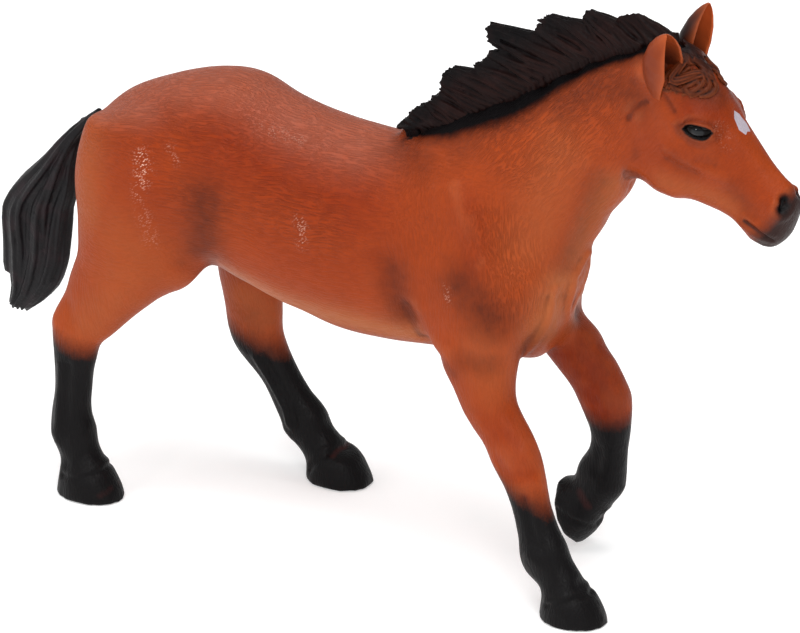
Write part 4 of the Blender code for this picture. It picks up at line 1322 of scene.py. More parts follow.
def mane_lock(root_a, root_b, tip_a, tip_b, side, proud, count):
    """The strands of one lock on one side of the mane."""
    made = []
    tip_a, tip_b = np.array(tip_a, dtype=float), np.array(tip_b, dtype=float)
    way = np.linspace(0.0, 1.0, LOCK_STEPS)
    for index in range(count):
        share = (index + 0.5) / count
        wobble = rng.normal(0.0, 1.0, 6)
        base = root_at(root_a + (root_b - root_a) * share + 0.8 * wobble[0], -MANE_HALF)
        base[1] = 0.0
        tip = on_plane(*(tip_a + (tip_b - tip_a) * share + 0.5 * wobble[2]), 0.0)
        tip = base + (tip - base) * (1.0 - 0.05 * abs(wobble[1]))
        length = np.linalg.norm(tip - base)
        middle = (base + tip) / 2 + np.array((0.28, 0.0, 0.10)) * length * (0.5 + 0.25 * wobble[3])
        line = bent(base, middle, tip, LOCK_STEPS)
        wave = np.sin(np.pi * (2.2 * way + wobble[4])) * 0.10 * np.sin(np.pi * way)
        line += wave[:, None] * np.array((0.6, 0.0, 0.8))
        swell = proud + (0.10 if index % 2 else -0.10) + 0.04 * wobble[5]
        half = MANE_HALF * (1.0 - 0.75 * ramp(root_b, *THINNING))
        swell *= half / MANE_HALF
        line[:, 1] = side * (half * (1.0 - 0.80 * way**1.4) + swell * np.sin(np.pi * (0.08 + 0.87 * way)))
        line = np.vstack([line[0] + (0.15, 0.0, -1.0), line])
        line[0, 1] *= 0.8
        radii = np.concatenate([[0.21], 0.22 - 0.11 * way**2.2])
        made.append((line, radii))
    return made


mane_strands = []
for index, (root_a, root_b, tip_a, tip_b) in enumerate(LOCKS):
    for side in (-1.0, 1.0):
        proud = 0.34 if (index + (side > 0)) % 2 else -0.08
        mane_strands += mane_lock(root_a, root_b, tip_a, tip_b, side, proud, LOCK_STRANDS)
    for line, radii in mane_lock(root_a, root_b, tip_a, tip_b, 0.0, 0.0, LOCK_CORES):
        line[0] += (0.2, 0.0, -0.5)
        thick = 1.22 - 1.02 * np.linspace(0.0, 1.0, len(radii)) ** 0.8
        thick *= 1.0 - 0.6 * ramp(root_b, *THINNING)
        mane_strands.append((line, np.maximum(thick, 0.14)))
mane = tuft("mane_hair", mane_strands, MANE_GRAIN, black_hair)

# The bay shines through low on the mane's near and far face
at = horse(points_of(mane.data))
low_down = 1.0 - ramp(along_path(mirrored(at, 0.0), foot), 1.5, 5.5)
give(mane.data, "brown", 0.38 * ramp(at[:, 0], 36.0, 42.0) * low_down)
shade_relief(mane, 8, 0.0, 0.06)

# %% [markdown]
# ### The tail
# The tail hangs from the croup in one broad lock that swings back and ends in ragged tips. Its strands run
# side by side between the outer and the inner edge of that lock.

# %% Grow the tail
TAIL_STRANDS, TAIL_CORES, STRAND_POINTS = 24, 9, 30
TAIL_GRAIN = 0.12

# The lock's outer and inner edge from the dock down, in pixels, and half its thickness there, in mm
TAIL_OUTER = np.array((
    (99, 110), (88, 117), (75, 126), (61, 139), (49, 152), (36, 165), (22, 178),
    (11, 190), (4, 202), (3, 216), (4, 238), (4, 262), (9, 284), (7, 305),
), dtype=float)
TAIL_INNER = np.array((
    (97, 115), (89, 124), (82, 138), (79, 152), (77, 166), (77, 180), (76, 194),
    (73, 208), (73, 224), (72, 240), (70, 262), (62, 283), (45, 299), (26, 311),
), dtype=float)
TAIL_HALF = (0.5, 0.95, 1.4, 1.85, 2.0, 2.05, 2.05, 2.0, 1.9, 1.75, 1.5, 1.2, 0.9, 0.55)
LAST_ROW = len(TAIL_OUTER) - 1


def tail_place(across, row, side, proud):
    """A place on the tail: across it from its outer edge, and down it by the rows of its edges."""
    low = int(min(max(row, 0.0), LAST_ROW - 0.001))
    share = row - low
    outer = TAIL_OUTER[low] + (TAIL_OUTER[low + 1] - TAIL_OUTER[low]) * share
    inner = TAIL_INNER[low] + (TAIL_INNER[low + 1] - TAIL_INNER[low]) * share
    half = TAIL_HALF[low] + (TAIL_HALF[low + 1] - TAIL_HALF[low]) * share
    round_share = math.sqrt(max(1.0 - (2.0 * across - 1.0) ** 2, 0.0))
    spot = on_plane(*(outer + (inner - outer) * (0.02 + 0.96 * across)), 0.0)
    spot[1] = side * (half * round_share * (0.72 + proud))
    return spot


tail_strands = []
for side in (-1.0, 1.0):
    for index in range(TAIL_STRANDS):
        start = (index + 0.5) / TAIL_STRANDS
        wobble = rng.normal(0.0, 1.0, 4)
        last = LAST_ROW - (1.7 if start < 0.16 else 0.35 * abs(wobble[0]))
        rows = np.linspace(0.0, last, STRAND_POINTS)
        line = []
        for row in rows:
            sway = 0.05 * math.sin(0.55 * row + 0.5 * wobble[1] + 6.0 * start)
            proud = 0.22 * math.sin(2 * math.pi * 3.3 * start + 0.30 * row + (0.9 if side > 0 else 0.0))
            proud += 0.05 if index % 2 else -0.05
            line.append(tail_place(min(max(start + sway * row / LAST_ROW, 0.02), 0.98), row, side, proud))
        way = rows / LAST_ROW
        radii = 0.26 + 0.05 * np.sin(np.pi * way) - 0.10 * ramp(way, 0.85, 1.0)
        tail_strands.append((np.array(line), radii))
for index in range(TAIL_CORES):
    across = (index + 0.5) / TAIL_CORES
    last = 11.0 if across < 0.16 else 12.8
    rows = np.linspace(0.0, last, STRAND_POINTS)
    line = np.array([tail_place(across, row, 0.0, 0.0) for row in rows])
    edge = math.sqrt(1.0 - (2.0 * across - 1.0) ** 2)
    halves = np.interp(rows, range(LAST_ROW + 1), TAIL_HALF)
    widths = np.linalg.norm(TAIL_INNER - TAIL_OUTER, axis=1) * PIXEL / MM / TAIL_CORES
    gaps = np.interp(rows, range(LAST_ROW + 1), widths)
    radii = np.maximum(np.minimum(halves * edge * 0.72, 1.1 * gaps), 0.16)
    tail_strands.append((line, radii))
dock = on_plane(96, 116, 0.0)
dock_line = dock + np.array(((2.2, 0, -1.6), (0.6, 0, -0.9), (0, 0, -0.4), (-1.5, 0, -1.3)))
tail_strands.append((dock_line, [0.6, 0.6, 0.5, 0.8]))
tail = tuft("tail_hair", tail_strands, TAIL_GRAIN, tail_paint)

# %% [markdown]
# ### The forelock
# Short curls fall from between the ears over the forehead, and smaller ones lie round the near ear's base.

# %% Measure the curls
# Each curl: four pixels along it, and half its width in mm. The first eight are the dark ones between the
# ears.
CURLS = (
    ((683, 40), (690, 42), (696, 50), (694, 58), 0.40),
    ((685, 46), (689, 52), (693, 59), (699, 65), 0.36),
    ((688, 40), (697, 45), (702, 53), (699, 62), 0.36),
    ((693, 52), (702, 58), (709, 66), (716, 74), 0.36),
    ((698, 53), (708, 59), (715, 66), (718, 73), 0.30),
    ((692, 60), (700, 66), (706, 74), (709, 81), 0.32),
    ((702, 58), (711, 64), (716, 70), (719, 76), 0.26),
    ((697, 62), (705, 69), (710, 76), (714, 81), 0.30),
    ((686, 64), (678, 68), (669, 73), (663, 82), 0.22),
    ((690, 67), (682, 73), (673, 79), (666, 88), 0.22),
    ((695, 69), (689, 77), (679, 83), (670, 91), 0.22),
    ((699, 72), (696, 81), (686, 87), (675, 93), 0.22),
    ((704, 75), (702, 84), (693, 91), (682, 95), 0.22),
    ((708, 77), (709, 87), (701, 93), (690, 97), 0.22),
    ((713, 80), (716, 88), (710, 95), (699, 97), 0.22),
    ((664, 72), (659, 79), (661, 87), (669, 91), 0.20),
    ((676, 74), (671, 81), (675, 88), (684, 91), 0.18),
    ((688, 80), (685, 88), (691, 94), (700, 92), 0.18),
    ((698, 80), (699, 88), (706, 92), (713, 89), 0.18),
    ((681, 69), (674, 76), (671, 84), (676, 92), 0.18),
)
print("curls:", len(CURLS))

# %% [markdown]
# ### Twisted curls
# A curl is a small bundle: six strands wind round its spine, and a core fills it. The biggest curls and all
# the small ones are there a second time, mirrored to the far side.

# %% Grow the forelock
DARK_CURLS, TWINNED_CURLS = 8, 4
CURL_STRANDS, CURL_STEPS = 6, 16
CURL_GRAIN = 0.075


def cubic(points, count):
    """A smooth curve through four places."""
    share = np.linspace(0.0, 3.0, count)
    a, b, c, d = points
    knots = np.array([2 * a - b, a, b, c, d, 2 * d - c])
    made = []
    for value in share:
        low = int(min(value, 2.999))
        t = value - low
        p0, p1, p2, p3 = knots[low : low + 4]
        made.append(0.5 * (
            2 * p1 + (p2 - p0) * t + (2 * p0 - 5 * p1 + 4 * p2 - p3) * t * t
            + (3 * p1 - p0 - 3 * p2 + p3) * t**3
        ))
    return np.array(made)


fore_strands = []
for curl_index, (*pixels, width) in enumerate(CURLS):
    dark = curl_index < DARK_CURLS
    twinned = curl_index < TWINNED_CURLS or not dark
    lines = [on_skin(tree, *pixel, 0.45 - 0.12 * step if dark else 0.12) for step, pixel in enumerate(pixels)]
    spine = cubic(np.array([spot for spot, _ in lines]), CURL_STEPS)
    outward = cubic(np.array([facing for _, facing in lines]), CURL_STEPS)
    across = np.cross(np.gradient(spine, axis=0), outward)
    across /= np.maximum(np.linalg.norm(across, axis=1), 1e-6)[:, None]
    for turn in range(CURL_STRANDS):
        angle = 2 * math.pi * turn / CURL_STRANDS + np.linspace(0.0, 5.0, CURL_STEPS) + curl_index
        swell = width * (0.35 + 0.65 * np.sin(np.pi * np.linspace(0.12, 0.94, CURL_STEPS)))
        beside = across * (np.cos(angle) * swell * 0.9)[:, None]
        line = spine + beside + outward * (np.sin(angle) * swell * 0.55)[:, None]
        radii = (0.10 if dark else 0.06) * np.sin(np.pi * np.linspace(0.2, 0.9, CURL_STEPS)) + 0.065
        fore_strands.append((line, radii))
        if twinned:
            fore_strands.append((line * (1, -1, 1), radii))
    core = (0.8 if dark else 0.6) * width * np.sin(np.pi * np.linspace(0.2, 0.85, CURL_STEPS))
    fore_strands += [(spine, core), (spine * (1, -1, 1), core if twinned else core * 0.6)]
poll = np.array((69.4, 0.0, 65.2))
poll_line = cubic(poll + np.array(((-2.0, 0, -0.2), (0, 0, 0), (1.6, 0, -0.5), (3.4, 0, -2.4))), CURL_STEPS)
fore_strands.append((poll_line, 0.85 * np.sin(np.pi * np.linspace(0.25, 0.85, CURL_STEPS))))
forelock = tuft("forelock_hair", fore_strands, CURL_GRAIN, curl_paint)

# The curls near the eye are left brown
BROWN_CURLS = ((652, 66), (676, 60), (692, 62), (704, 72), (716, 80), (722, 106), (652, 106))
seen = seen_in_photo(mirrored(horse(points_of(forelock.data)), 0.0))
give(forelock.data, "brown", 0.95 * ramp(inside(seen, BROWN_CURLS), -14.0, 6.0))
shade_relief(forelock, 10, -0.01, 0.035)

# %% [markdown]
# ## Ears and eyes
# Each ear is a leaf rolled into a cup, 0.5 mm thick at the rim, and it opens forward and inward. The eyes are
# polished balls, a little flattened, set behind the lids.

# %% Roll the ears
EAR_FOOT, EAR_TIP = np.array((68.0, -2.0, 60.5)), np.array((70.0, -4.7, 69.7))
EAR_ROWS, EAR_COLUMNS = 60, 56

# The side, the turn in degrees, the width's share and a shift forward, then up the lower half of the ear: its
# radius in mm, and how far its mouth opens in degrees to each side. Last comes how far up its foot begins.
Ear = namedtuple("Ear", "side turn width shift radii mouths start")
EARS = {
    "right_ear": Ear(-1, 8.0, 1.06, -0.25, (1.25, 1.7, 2.05), (78.0, 68.0, 57.0), 0.08),
    "left_ear": Ear(1, -20.0, 0.86, -0.45, (1.0, 1.4, 1.9), (4.0, 26.0, 52.0), 0.0),
}


def ear_spots(ear):
    """The places of an ear's outer and inner face, row by row from the foot to the tip."""
    sideways = np.array((ear.shift, 0.0, 0.0))
    axis = EAR_TIP - EAR_FOOT
    length = np.linalg.norm(axis)
    axis /= length
    ahead = np.array((math.cos(math.radians(ear.turn)), -math.sin(math.radians(ear.turn)), 0.0))
    ahead -= ahead @ axis * axis
    ahead /= np.linalg.norm(ahead)
    beside = np.cross(axis, ahead)
    spots = np.empty((2, EAR_ROWS, EAR_COLUMNS, 3))
    for row, share in enumerate(np.linspace(ear.start, 1.0, EAR_ROWS)):
        width = np.interp(
            share, (0.0, 0.15, 0.3, 0.42, 0.58, 0.75, 0.87, 0.95, 1.0),
            (*ear.radii, 2.2, 2.2, 1.85, 1.3, 0.75, 0.2),
        ) * ear.width
        opening = math.radians(np.interp(share, (0.0, 0.25, 0.5, 0.8, 1.0), (*ear.mouths, 64.0, 70.0)))
        back = np.interp(share, (0.0, 0.5, 1.0), (0.0, -0.2, 0.0))
        wall = np.interp(share, (0.0, 0.3, 0.8, 1.0), (0.9, 0.5, 0.40, 0.12))
        angles = np.linspace(opening, 2 * math.pi - opening, EAR_COLUMNS)
        rim = np.abs(np.linspace(-1.0, 1.0, EAR_COLUMNS)) ** 6
        for layer in (0, 1):
            radius = width - wall * (1.0 - 0.45 * rim) * layer
            along = np.cos(angles) * radius * 1.04 + back
            over = np.sin(angles) * radius * 0.84
            spots[layer, row] = (
                EAR_FOOT + sideways + axis * length * share + np.outer(along, ahead) + np.outer(over, beside)
            )
    if ear.side > 0:
        spots[..., 1] *= -1
    return spots


for name, ear in EARS.items():
    print(name, "is", round(float(np.ptp(ear_spots(ear)[..., 2])), 1), "mm high")

# %% [markdown]
# ### The ear's sheet
# The places of the outer and the inner face are joined by quads, also round the rim and across the foot, so
# the sheet is closed and has a real thickness. Its masks tell the paint where the inside, the rim and the
# tip are.

# %% Close the ears' sheets
EAR_MASKS = ("inside", "height", "rim", "inner_side", "across")


def ear_skin(ear):
    """A leaf-shaped cup as a closed sheet, with its masks on its points."""
    skin = bmesh.new()
    masks = {name: skin.verts.layers.float.new(name) for name in EAR_MASKS}
    spots = ear_spots(ear)
    grid = [[[skin.verts.new(Vector(metres(spot))) for spot in line] for line in layer] for layer in spots]
    last_row, last_column = EAR_ROWS - 1, EAR_COLUMNS - 1
    for layer in (0, 1):
        for row in range(EAR_ROWS):
            height = row / last_row
            for column, vertex in enumerate(grid[layer][row]):
                turn = 2.0 * column / last_column - 1.0
                vertex[masks["inside"]] = float(layer)
                vertex[masks["height"]] = height
                vertex[masks["rim"]] = max(abs(turn), height) ** 8
                vertex[masks["inner_side"]] = max(-turn, 0.0)
                vertex[masks["across"]] = 0.5 + 0.5 * turn

    def face(*corners):
        skin.faces.new([grid[layer][row][column] for layer, row, column in corners])

    for row in range(last_row):
        for column in range(last_column):
            face((0, row, column), (0, row, column + 1), (0, row + 1, column + 1), (0, row + 1, column))
            face((1, row, column), (1, row + 1, column), (1, row + 1, column + 1), (1, row, column + 1))
        for column in (0, last_column):
            face((0, row, column), (0, row + 1, column), (1, row + 1, column), (1, row, column))
    for column in range(last_column):
        for row in (0, last_row):
            face((0, row, column), (1, row, column), (1, row, column + 1), (0, row, column + 1))
    bmesh.ops.recalc_face_normals(skin, faces=skin.faces)
    return skin


ears = {}
for name, ear in EARS.items():
    ears[name] = new_object("skin_" + name, ear_skin(ear))
    ears[name].data.shade_smooth()
    print(name, len(ears[name].data.polygons), "faces")

# %% [markdown]
# ### The eyes
# The eye of such a figure is a dot of gloss enamel on the moulded ball: almost black, with a greyer pupil
# that lies under the gloss. Each ball is an ellipsoid with a small bulge for the cornea, set so deep that
# only the almond between the lids shows.

# %% Set the eyes
# Radii along the almond, up across it and out of the head, and how far the ball stands past the eye's
# corners, in mm
EYE_RADII = (1.62, 1.0, 0.80)
EYE_PROUD = 0.20
eye_paint = bpy.data.materials.new("gloss enamel, dark eye")
eye_paint.use_nodes = True
nodes = eye_paint.node_tree
enamel = nodes.nodes["Principled BSDF"]
pupil = add_node(nodes, "ShaderNodeAttribute", {"attribute_name": "pupil"}).outputs["Fac"]
cloudy = add_node(
    nodes, "ShaderNodeTexNoise", Vector=add_node(nodes, "ShaderNodeTexCoord").outputs["Object"],
    Scale=1.0 / (0.5 * MM), Detail=3.0,
).outputs["Fac"]
iris = add_node(
    nodes, "ShaderNodeMix", {"data_type": "RGBA"}, i0=cloudy, i6=srgb("060505"), i7=srgb("120d0c")
).outputs[2]
glaze = add_node(
    nodes, "ShaderNodeMix", {"data_type": "RGBA"}, i0=pupil, i6=iris, i7=srgb("0b0d10")
).outputs[2]
nodes.links.new(glaze, enamel.inputs["Base Color"])
enamel.inputs["Roughness"].default_value = 0.07
enamel.inputs["Specular IOR Level"].default_value = 0.05
glassy = add_node(nodes, "ShaderNodeMapRange", i0=pupil, i3=0.05, i4=0.22).outputs["Result"]
nodes.links.new(glassy, enamel.inputs["Specular IOR Level"])
enamel.inputs["IOR"].default_value = 1.52


def eyeball(side):
    """An eyeball's skin, on the right side for -1 and on the left for 1."""
    ball = bmesh.new()
    bmesh.ops.create_uvsphere(ball, u_segments=48, v_segments=32, radius=1.0)
    for vertex in ball.verts:
        along, up, out = vertex.co
        bulge = 1.0 + 0.10 * math.exp(-((along / 0.5) ** 2) - (up / 0.6) ** 2) * (out > 0.0)
        spot = eye_centre - eye_out * (EYE_RADII[2] - EYE_PROUD) + eye_along * along * EYE_RADII[0]
        spot = (spot + eye_up * up * EYE_RADII[1] + eye_out * out * bulge * EYE_RADII[2]) * (1, -side, 1)
        vertex.co = Vector(metres(spot))
    bmesh.ops.recalc_face_normals(ball, faces=ball.faces)
    return ball


eyes = {}
for name, side in (("right_eye", -1), ("left_eye", 1)):
    eyes[name] = new_object(name, eyeball(side))
    eyes[name].data.shade_smooth()
    eyes[name].data.materials.append(eye_paint)
    along, up, _ = eye_places(horse(points_of(eyes[name].data)))
    give(eyes[name].data, "pupil", 1.0 - ramp(np.hypot((along - 0.05) / 0.52, up / 0.36), 0.70, 1.05))
print("eye radii:", EYE_RADII, "mm")

# %% [markdown]
# ### The spark
# A photographer puts a small bare bulb where a glossy eye mirrors it to the camera. It gives the eye its
# spark, and hardly lights the rest.

# %% Place the spark
SPARK_PIXEL, SPARK_AWAY = (696, 129), 0.5
ball_tree = BVHTree.FromObject(eyes["right_eye"], bpy.context.evaluated_depsgraph_get())
spot, mirror = (Vector(found) for found in on_skin(ball_tree, *SPARK_PIXEL))
spot = place(*spot)
toward = (camera.location - spot).normalized()
spark = bpy.data.objects.new("spark", bpy.data.lights.new("spark", "AREA"))
spark.data.shape = "DISK"
spark.data.size = 0.05
spark.data.energy = 0.22
spark.location = spot + (2.0 * mirror.dot(toward) * mirror - toward) * SPARK_AWAY
spark.rotation_euler = (spark.location - spot).to_track_quat("Z", "Y").to_euler()
bpy.context.scene.collection.objects.link(spark)
print("the spark stands", round(spark.location.z / MM), "mm above the floor")

# %% [markdown]
# ## The bay paint
# Moulded PVC with an airbrushed coat: a satin surface, mixed reds that are never quite even, and the
# sculpted hair, 0.4 mm from stroke to stroke, pressed into it by the mould. The hair follows the body: along
# the back, down the shoulder and the legs, sloping down the neck. Each direction is one stretched noise, and
# the masks choose.

# %% Comb the hair
bay_paint = bpy.data.materials.new("airbrushed acrylic on moulded PVC, bay")
bay_paint.use_nodes = True
nodes = bay_paint.node_tree
shader = nodes.nodes["Principled BSDF"]
where = add_node(nodes, "ShaderNodeTexCoord").outputs["Object"]
cloud = add_node(
    nodes, "ShaderNodeTexNoise", Vector=where, Scale=1.0 / (9.0 * MM), Detail=4.0, Roughness=0.55
).outputs["Fac"]
mottle = add_node(
    nodes, "ShaderNodeTexNoise", Vector=where, Scale=1.0 / (1.1 * MM), Detail=3.0, Roughness=0.6
).outputs["Fac"]

# The spray's grain is 0.22 mm
spray = add_node(
    nodes, "ShaderNodeTexNoise", Vector=where, Scale=1.0 / (0.22 * MM), Detail=1.0
).outputs["Fac"]

# Hair strokes, bent a little by a slow noise so that they never run quite straight
drift = add_node(nodes, "ShaderNodeTexNoise", Vector=where, Scale=1.0 / (6.0 * MM), Detail=1.0)
centred = add_node(
    nodes, "ShaderNodeVectorMath", {"operation": "SUBTRACT"}, i0=drift.outputs["Color"], i1=(0.5, 0.5, 0.5)
)
moved = add_node(
    nodes, "ShaderNodeVectorMath", {"operation": "MULTIPLY_ADD"},
    i0=centred.outputs["Vector"], i1=(1.8 * MM,) * 3, i2=where,
).outputs["Vector"]
strokes = []
for turn, length in ((-4.0, 1.9), (84.0, 1.7), (-52.0, 1.5)):
    lay = add_node(
        nodes, "ShaderNodeMapping", {"vector_type": "TEXTURE"}, Vector=moved,
        Rotation=(0.0, math.radians(turn), 0.0), Scale=(length * MM, 0.22 * MM, 0.22 * MM),
    )
    strokes.append(add_node(
        nodes, "ShaderNodeTexNoise", Vector=lay.outputs["Vector"], Scale=1.0, Detail=2.0, Roughness=0.5
    ).outputs["Fac"])
down = add_node(nodes, "ShaderNodeAttribute", {"attribute_name": "hair_down"}).outputs["Fac"]
slope = add_node(nodes, "ShaderNodeAttribute", {"attribute_name": "hair_slope"}).outputs["Fac"]
body_hair = add_node(nodes, "ShaderNodeMix", {"data_type": "FLOAT"}, i0=down, i2=strokes[0], i3=strokes[1])
hair = add_node(
    nodes, "ShaderNodeMix", {"data_type": "FLOAT"}, i0=slope, i2=body_hair.outputs[0], i3=strokes[2]
).outputs[0]
hair = add_node(
    nodes, "ShaderNodeMapRange", {"interpolation_type": "SMOOTHSTEP"}, i0=hair, i1=0.36, i2=0.62
).outputs["Result"]
depth = add_node(nodes, "ShaderNodeAttribute", {"attribute_name": "hair_depth"}).outputs["Fac"]
print("nodes for the hair:", len(nodes.nodes))

# %% [markdown]
# ### Reds, browns and black
# The PVC itself is two reds in slow clouds. The paints follow in the order in which they are sprayed: first
# the thin ones that tint it, then the ones that cover it. Each takes its place from its mask.

# %% Mix the bay paint
colour = add_node(
    nodes, "ShaderNodeMix", {"data_type": "RGBA"}, i0=cloud, i6=srgb("7e2e0b"), i7=srgb("993c10")
).outputs[2]
# Among these tints, the pinkish one is a painted sheen on the surfaces that face up, the lighter orange on
# the ridges is rubbed paint and a painted highlight, and the dark wash in the hollows is also painted shade
for name, code, most in (
    ("pale", "a05830", 1.0), ("red", "762202", 1.0), ("painted_sheen", "a2614e", 1.0), ("rub_and_highlight", "a2502c", 0.35),
    ("brown", "3c170c", 1.0), ("wash_and_shade", "451809", 0.55),
):
    amount = add_node(nodes, "ShaderNodeAttribute", {"attribute_name": name}).outputs["Fac"]
    uneven = add_node(
        nodes, "ShaderNodeMapRange", i0=mottle, i1=0.25, i2=0.75, i3=0.75 * most, i4=1.15 * most
    ).outputs["Result"]
    share = add_node(
        nodes, "ShaderNodeMath", {"operation": "MULTIPLY"}, i0=amount, i1=uneven
    ).outputs["Value"]
    colour = add_node(
        nodes, "ShaderNodeMix", {"data_type": "RGBA"}, i0=share, i6=colour, i7=srgb(code)
    ).outputs[2]

# Paints that cover: their edges break up into the spray's droplets
for name, code, low, high in (
    ("muzzle", "2c1b18", 0.12, 1.12), ("black", "080607", 0.20, 1.00), ("worn", "3c1a18", 0.30, 1.10),
    ("star", "a49aa3", 0.62, 0.86),
):
    amount = add_node(nodes, "ShaderNodeAttribute", {"attribute_name": name}).outputs["Fac"]
    grainy = add_node(
        nodes, "ShaderNodeMath", {"operation": "MULTIPLY_ADD"}, i0=mottle, i1=0.18, i2=amount
    ).outputs["Value"]
    edge = add_node(
        nodes, "ShaderNodeMath", {"operation": "MULTIPLY_ADD"}, i0=spray, i1=0.14, i2=grainy
    ).outputs["Value"]
    share = add_node(nodes, "ShaderNodeMapRange", i0=edge, i1=low, i2=high).outputs["Result"]
    colour = add_node(
        nodes, "ShaderNodeMix", {"data_type": "RGBA"}, i0=share, i6=colour, i7=srgb(code)
    ).outputs[2]

# The strokes' hollows hold a little more paint and get painted shade, the ridges a little less paint and a
# painted highlight, and painted highlights, light specks for glints of light, sit on a few hairs
tone = add_node(nodes, "ShaderNodeMapRange", i0=hair, i3=0.86, i4=1.08).outputs["Result"]
tone = add_node(nodes, "ShaderNodeMix", {"data_type": "FLOAT"}, i0=depth, i2=1.0, i3=tone).outputs[0]
colour = add_node(nodes, "ShaderNodeVectorMath", {"operation": "SCALE"}, i0=colour, i3=tone).outputs["Vector"]
painted_glints = add_node(nodes, "ShaderNodeAttribute", {"attribute_name": "painted_glint"}).outputs["Fac"]
dashes = add_node(
    nodes, "ShaderNodeMapping", {"vector_type": "TEXTURE"}, Vector=where,
    Rotation=(0.0, math.radians(-40.0), 0.0), Scale=(0.40 * MM, 0.16 * MM, 0.16 * MM),
).outputs["Vector"]
dots = add_node(nodes, "ShaderNodeTexVoronoi", Vector=dashes, Scale=1.0, Randomness=1.0).outputs["Distance"]
dot = add_node(nodes, "ShaderNodeMapRange", i0=dots, i1=0.24, i2=0.46, i3=1.0, i4=0.0).outputs["Result"]
chosen = add_node(nodes, "ShaderNodeMapRange", i0=mottle, i1=0.40, i2=0.54).outputs["Result"]
speck = add_node(nodes, "ShaderNodeMath", {"operation": "MULTIPLY"}, i0=dot, i1=chosen).outputs["Value"]
speck = add_node(nodes, "ShaderNodeMath", {"operation": "MULTIPLY"}, i0=speck, i1=painted_glints).outputs["Value"]
colour = add_node(
    nodes, "ShaderNodeMix", {"data_type": "RGBA"}, i0=speck, i6=colour, i7=srgb("d2a28e")
).outputs[2]
nodes.links.new(colour, shader.inputs["Base Color"])
print("nodes with the colours:", len(nodes.nodes))

# %% [markdown]
# ### Satin, pressed by the mould
# The hair strokes are far finer than the skin's faces, so they are a bump of 0.1 mm and not a shape. Ridges
# are rubbed a little glossier than the grooves, and the black at the mane's foot is matte.

# %% Finish the surface
gloss = add_node(nodes, "ShaderNodeMapRange", i0=hair, i3=0.52, i4=0.40).outputs["Result"]
nodes.links.new(gloss, shader.inputs["Roughness"])
height = add_node(nodes, "ShaderNodeMath", {"operation": "MULTIPLY"}, i0=hair, i1=depth).outputs["Value"]
height = add_node(
    nodes, "ShaderNodeMath", {"operation": "MULTIPLY_ADD"}, i0=mottle, i1=0.25, i2=height
).outputs["Value"]
pressed = add_node(nodes, "ShaderNodeBump", Height=height, Strength=1.0, Distance=0.10 * MM).outputs["Normal"]
nodes.links.new(pressed, shader.inputs["Normal"])
shader.inputs["IOR"].default_value = 1.53
matte = add_node(nodes, "ShaderNodeAttribute", {"attribute_name": "matte"}).outputs["Fac"]
shader.inputs["Specular IOR Level"].default_value = 0.10
shine = add_node(nodes, "ShaderNodeMapRange", i0=matte, i3=0.10, i4=0.03).outputs["Result"]
nodes.links.new(shine, shader.inputs["Specular IOR Level"])
print("bay paint:", len(nodes.nodes), "nodes")

# %% [markdown]
# ## The ears' paint
# The light that thin PVC lets through at the rim is painted in, so the rim is the brightest orange of the
# coat.
# The inside is painted brown towards the base and brighter towards the tip and the side away from the other
# ear, as painted shade and light in the cup, and the side that faces the other ear is dark.

# %% Paint the ears
ear_paint = bpy.data.materials.new("airbrushed acrylic on thin PVC, ear")
ear_paint.use_nodes = True
nodes = ear_paint.node_tree
shader = nodes.nodes["Principled BSDF"]
where = add_node(nodes, "ShaderNodeTexCoord").outputs["Object"]
patches = add_node(
    nodes, "ShaderNodeTexNoise", Vector=where, Scale=1.0 / (1.2 * MM), Detail=4.0
).outputs["Fac"]
lay = add_node(
    nodes, "ShaderNodeMapping", {"vector_type": "TEXTURE"}, Vector=where, Scale=(0.3 * MM, 0.3 * MM, 1.8 * MM)
).outputs["Vector"]
strokes = add_node(nodes, "ShaderNodeTexNoise", Vector=lay, Scale=1.0, Detail=2.0).outputs["Fac"]
ear_masks = {
    name: add_node(nodes, "ShaderNodeAttribute", {"attribute_name": name}).outputs["Fac"]
    for name in EAR_MASKS
}
outer = add_node(
    nodes, "ShaderNodeMix", {"data_type": "RGBA"}, i0=patches, i6=srgb("74290c"), i7=srgb("8c3810")
).outputs[2]
shade = add_node(nodes, "ShaderNodeMapRange", i0=ear_masks["inner_side"], i1=-0.1, i2=0.22).outputs["Result"]
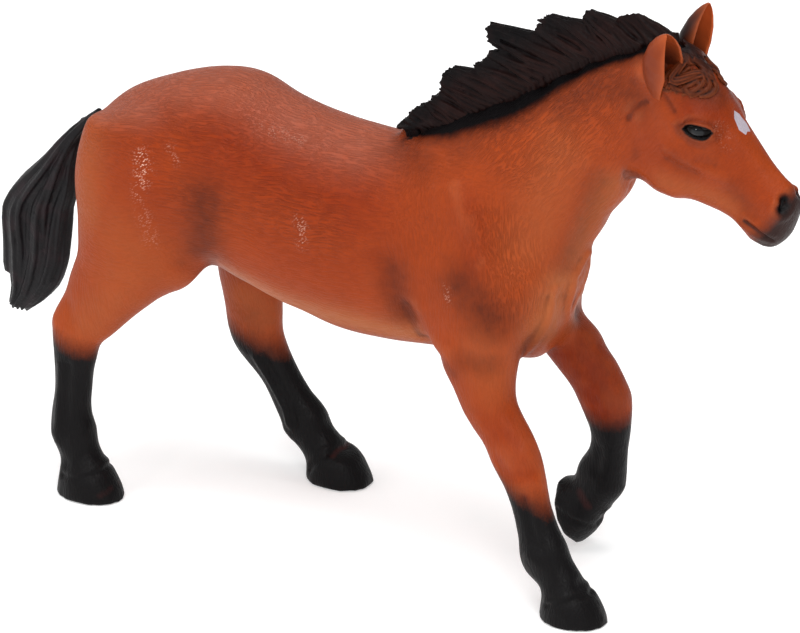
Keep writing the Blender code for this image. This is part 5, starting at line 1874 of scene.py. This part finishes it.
outer = add_node(
    nodes, "ShaderNodeMix", {"data_type": "RGBA"}, i0=shade, i6=outer, i7=srgb("180908")
).outputs[2]
# Painted light and shade in the cup: lighter towards the tip and the side away from the other ear, darker
# towards the base
lit = add_node(
    nodes, "ShaderNodeMath", {"operation": "MULTIPLY_ADD"},
    i0=ear_masks["across"], i1=0.30, i2=ear_masks["height"],
).outputs["Value"]
rise = add_node(
    nodes, "ShaderNodeMapRange", {"interpolation_type": "SMOOTHSTEP"}, i0=lit, i1=0.45, i2=1.05
).outputs["Result"]
inner = add_node(
    nodes, "ShaderNodeMix", {"data_type": "RGBA"}, i0=rise, i6=srgb("4a1f11"), i7=srgb("a84a22")
).outputs[2]
colour = add_node(
    nodes, "ShaderNodeMix", {"data_type": "RGBA"}, i0=ear_masks["inside"], i6=outer, i7=inner
).outputs[2]
# Painted light: the rim is painted a brighter orange for the light that the thin PVC lets through
rim = add_node(
    nodes, "ShaderNodeMath", {"operation": "MULTIPLY"}, i0=ear_masks["rim"], i1=0.6
).outputs["Value"]
colour = add_node(
    nodes, "ShaderNodeMix", {"data_type": "RGBA"}, i0=rim, i6=colour, i7=srgb("b4552a")
).outputs[2]
nodes.links.new(colour, shader.inputs["Base Color"])
gloss = add_node(nodes, "ShaderNodeMapRange", i0=strokes, i1=0.3, i2=0.7, i3=0.48, i4=0.38).outputs["Result"]
nodes.links.new(gloss, shader.inputs["Roughness"])
cut = add_node(nodes, "ShaderNodeBump", Height=strokes, Strength=0.5, Distance=0.05 * MM).outputs["Normal"]
nodes.links.new(cut, shader.inputs["Normal"])
shader.inputs["IOR"].default_value = 1.53
shader.inputs["Specular IOR Level"].default_value = 0.12
print("ear paint:", len(nodes.nodes), "nodes")

# %% [markdown]
# ## Finish
# Each piece rides on the figure's one body, stands for its solid, and has its paint.

# %% Hand over
bpy.data.objects.remove(coat)
for name, piece in (*skins.items(), *ears.items()):
    piece.data.materials.clear()
    piece.data.materials.append(ear_paint if name in ears else bay_paint)
    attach(piece, "root")
    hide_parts(name)
for name, piece in (("mane", mane), ("tail", tail), ("forelock", forelock)):
    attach(piece, "root")
    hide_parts(name)
for piece in eyes.values():
    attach(piece, "root")
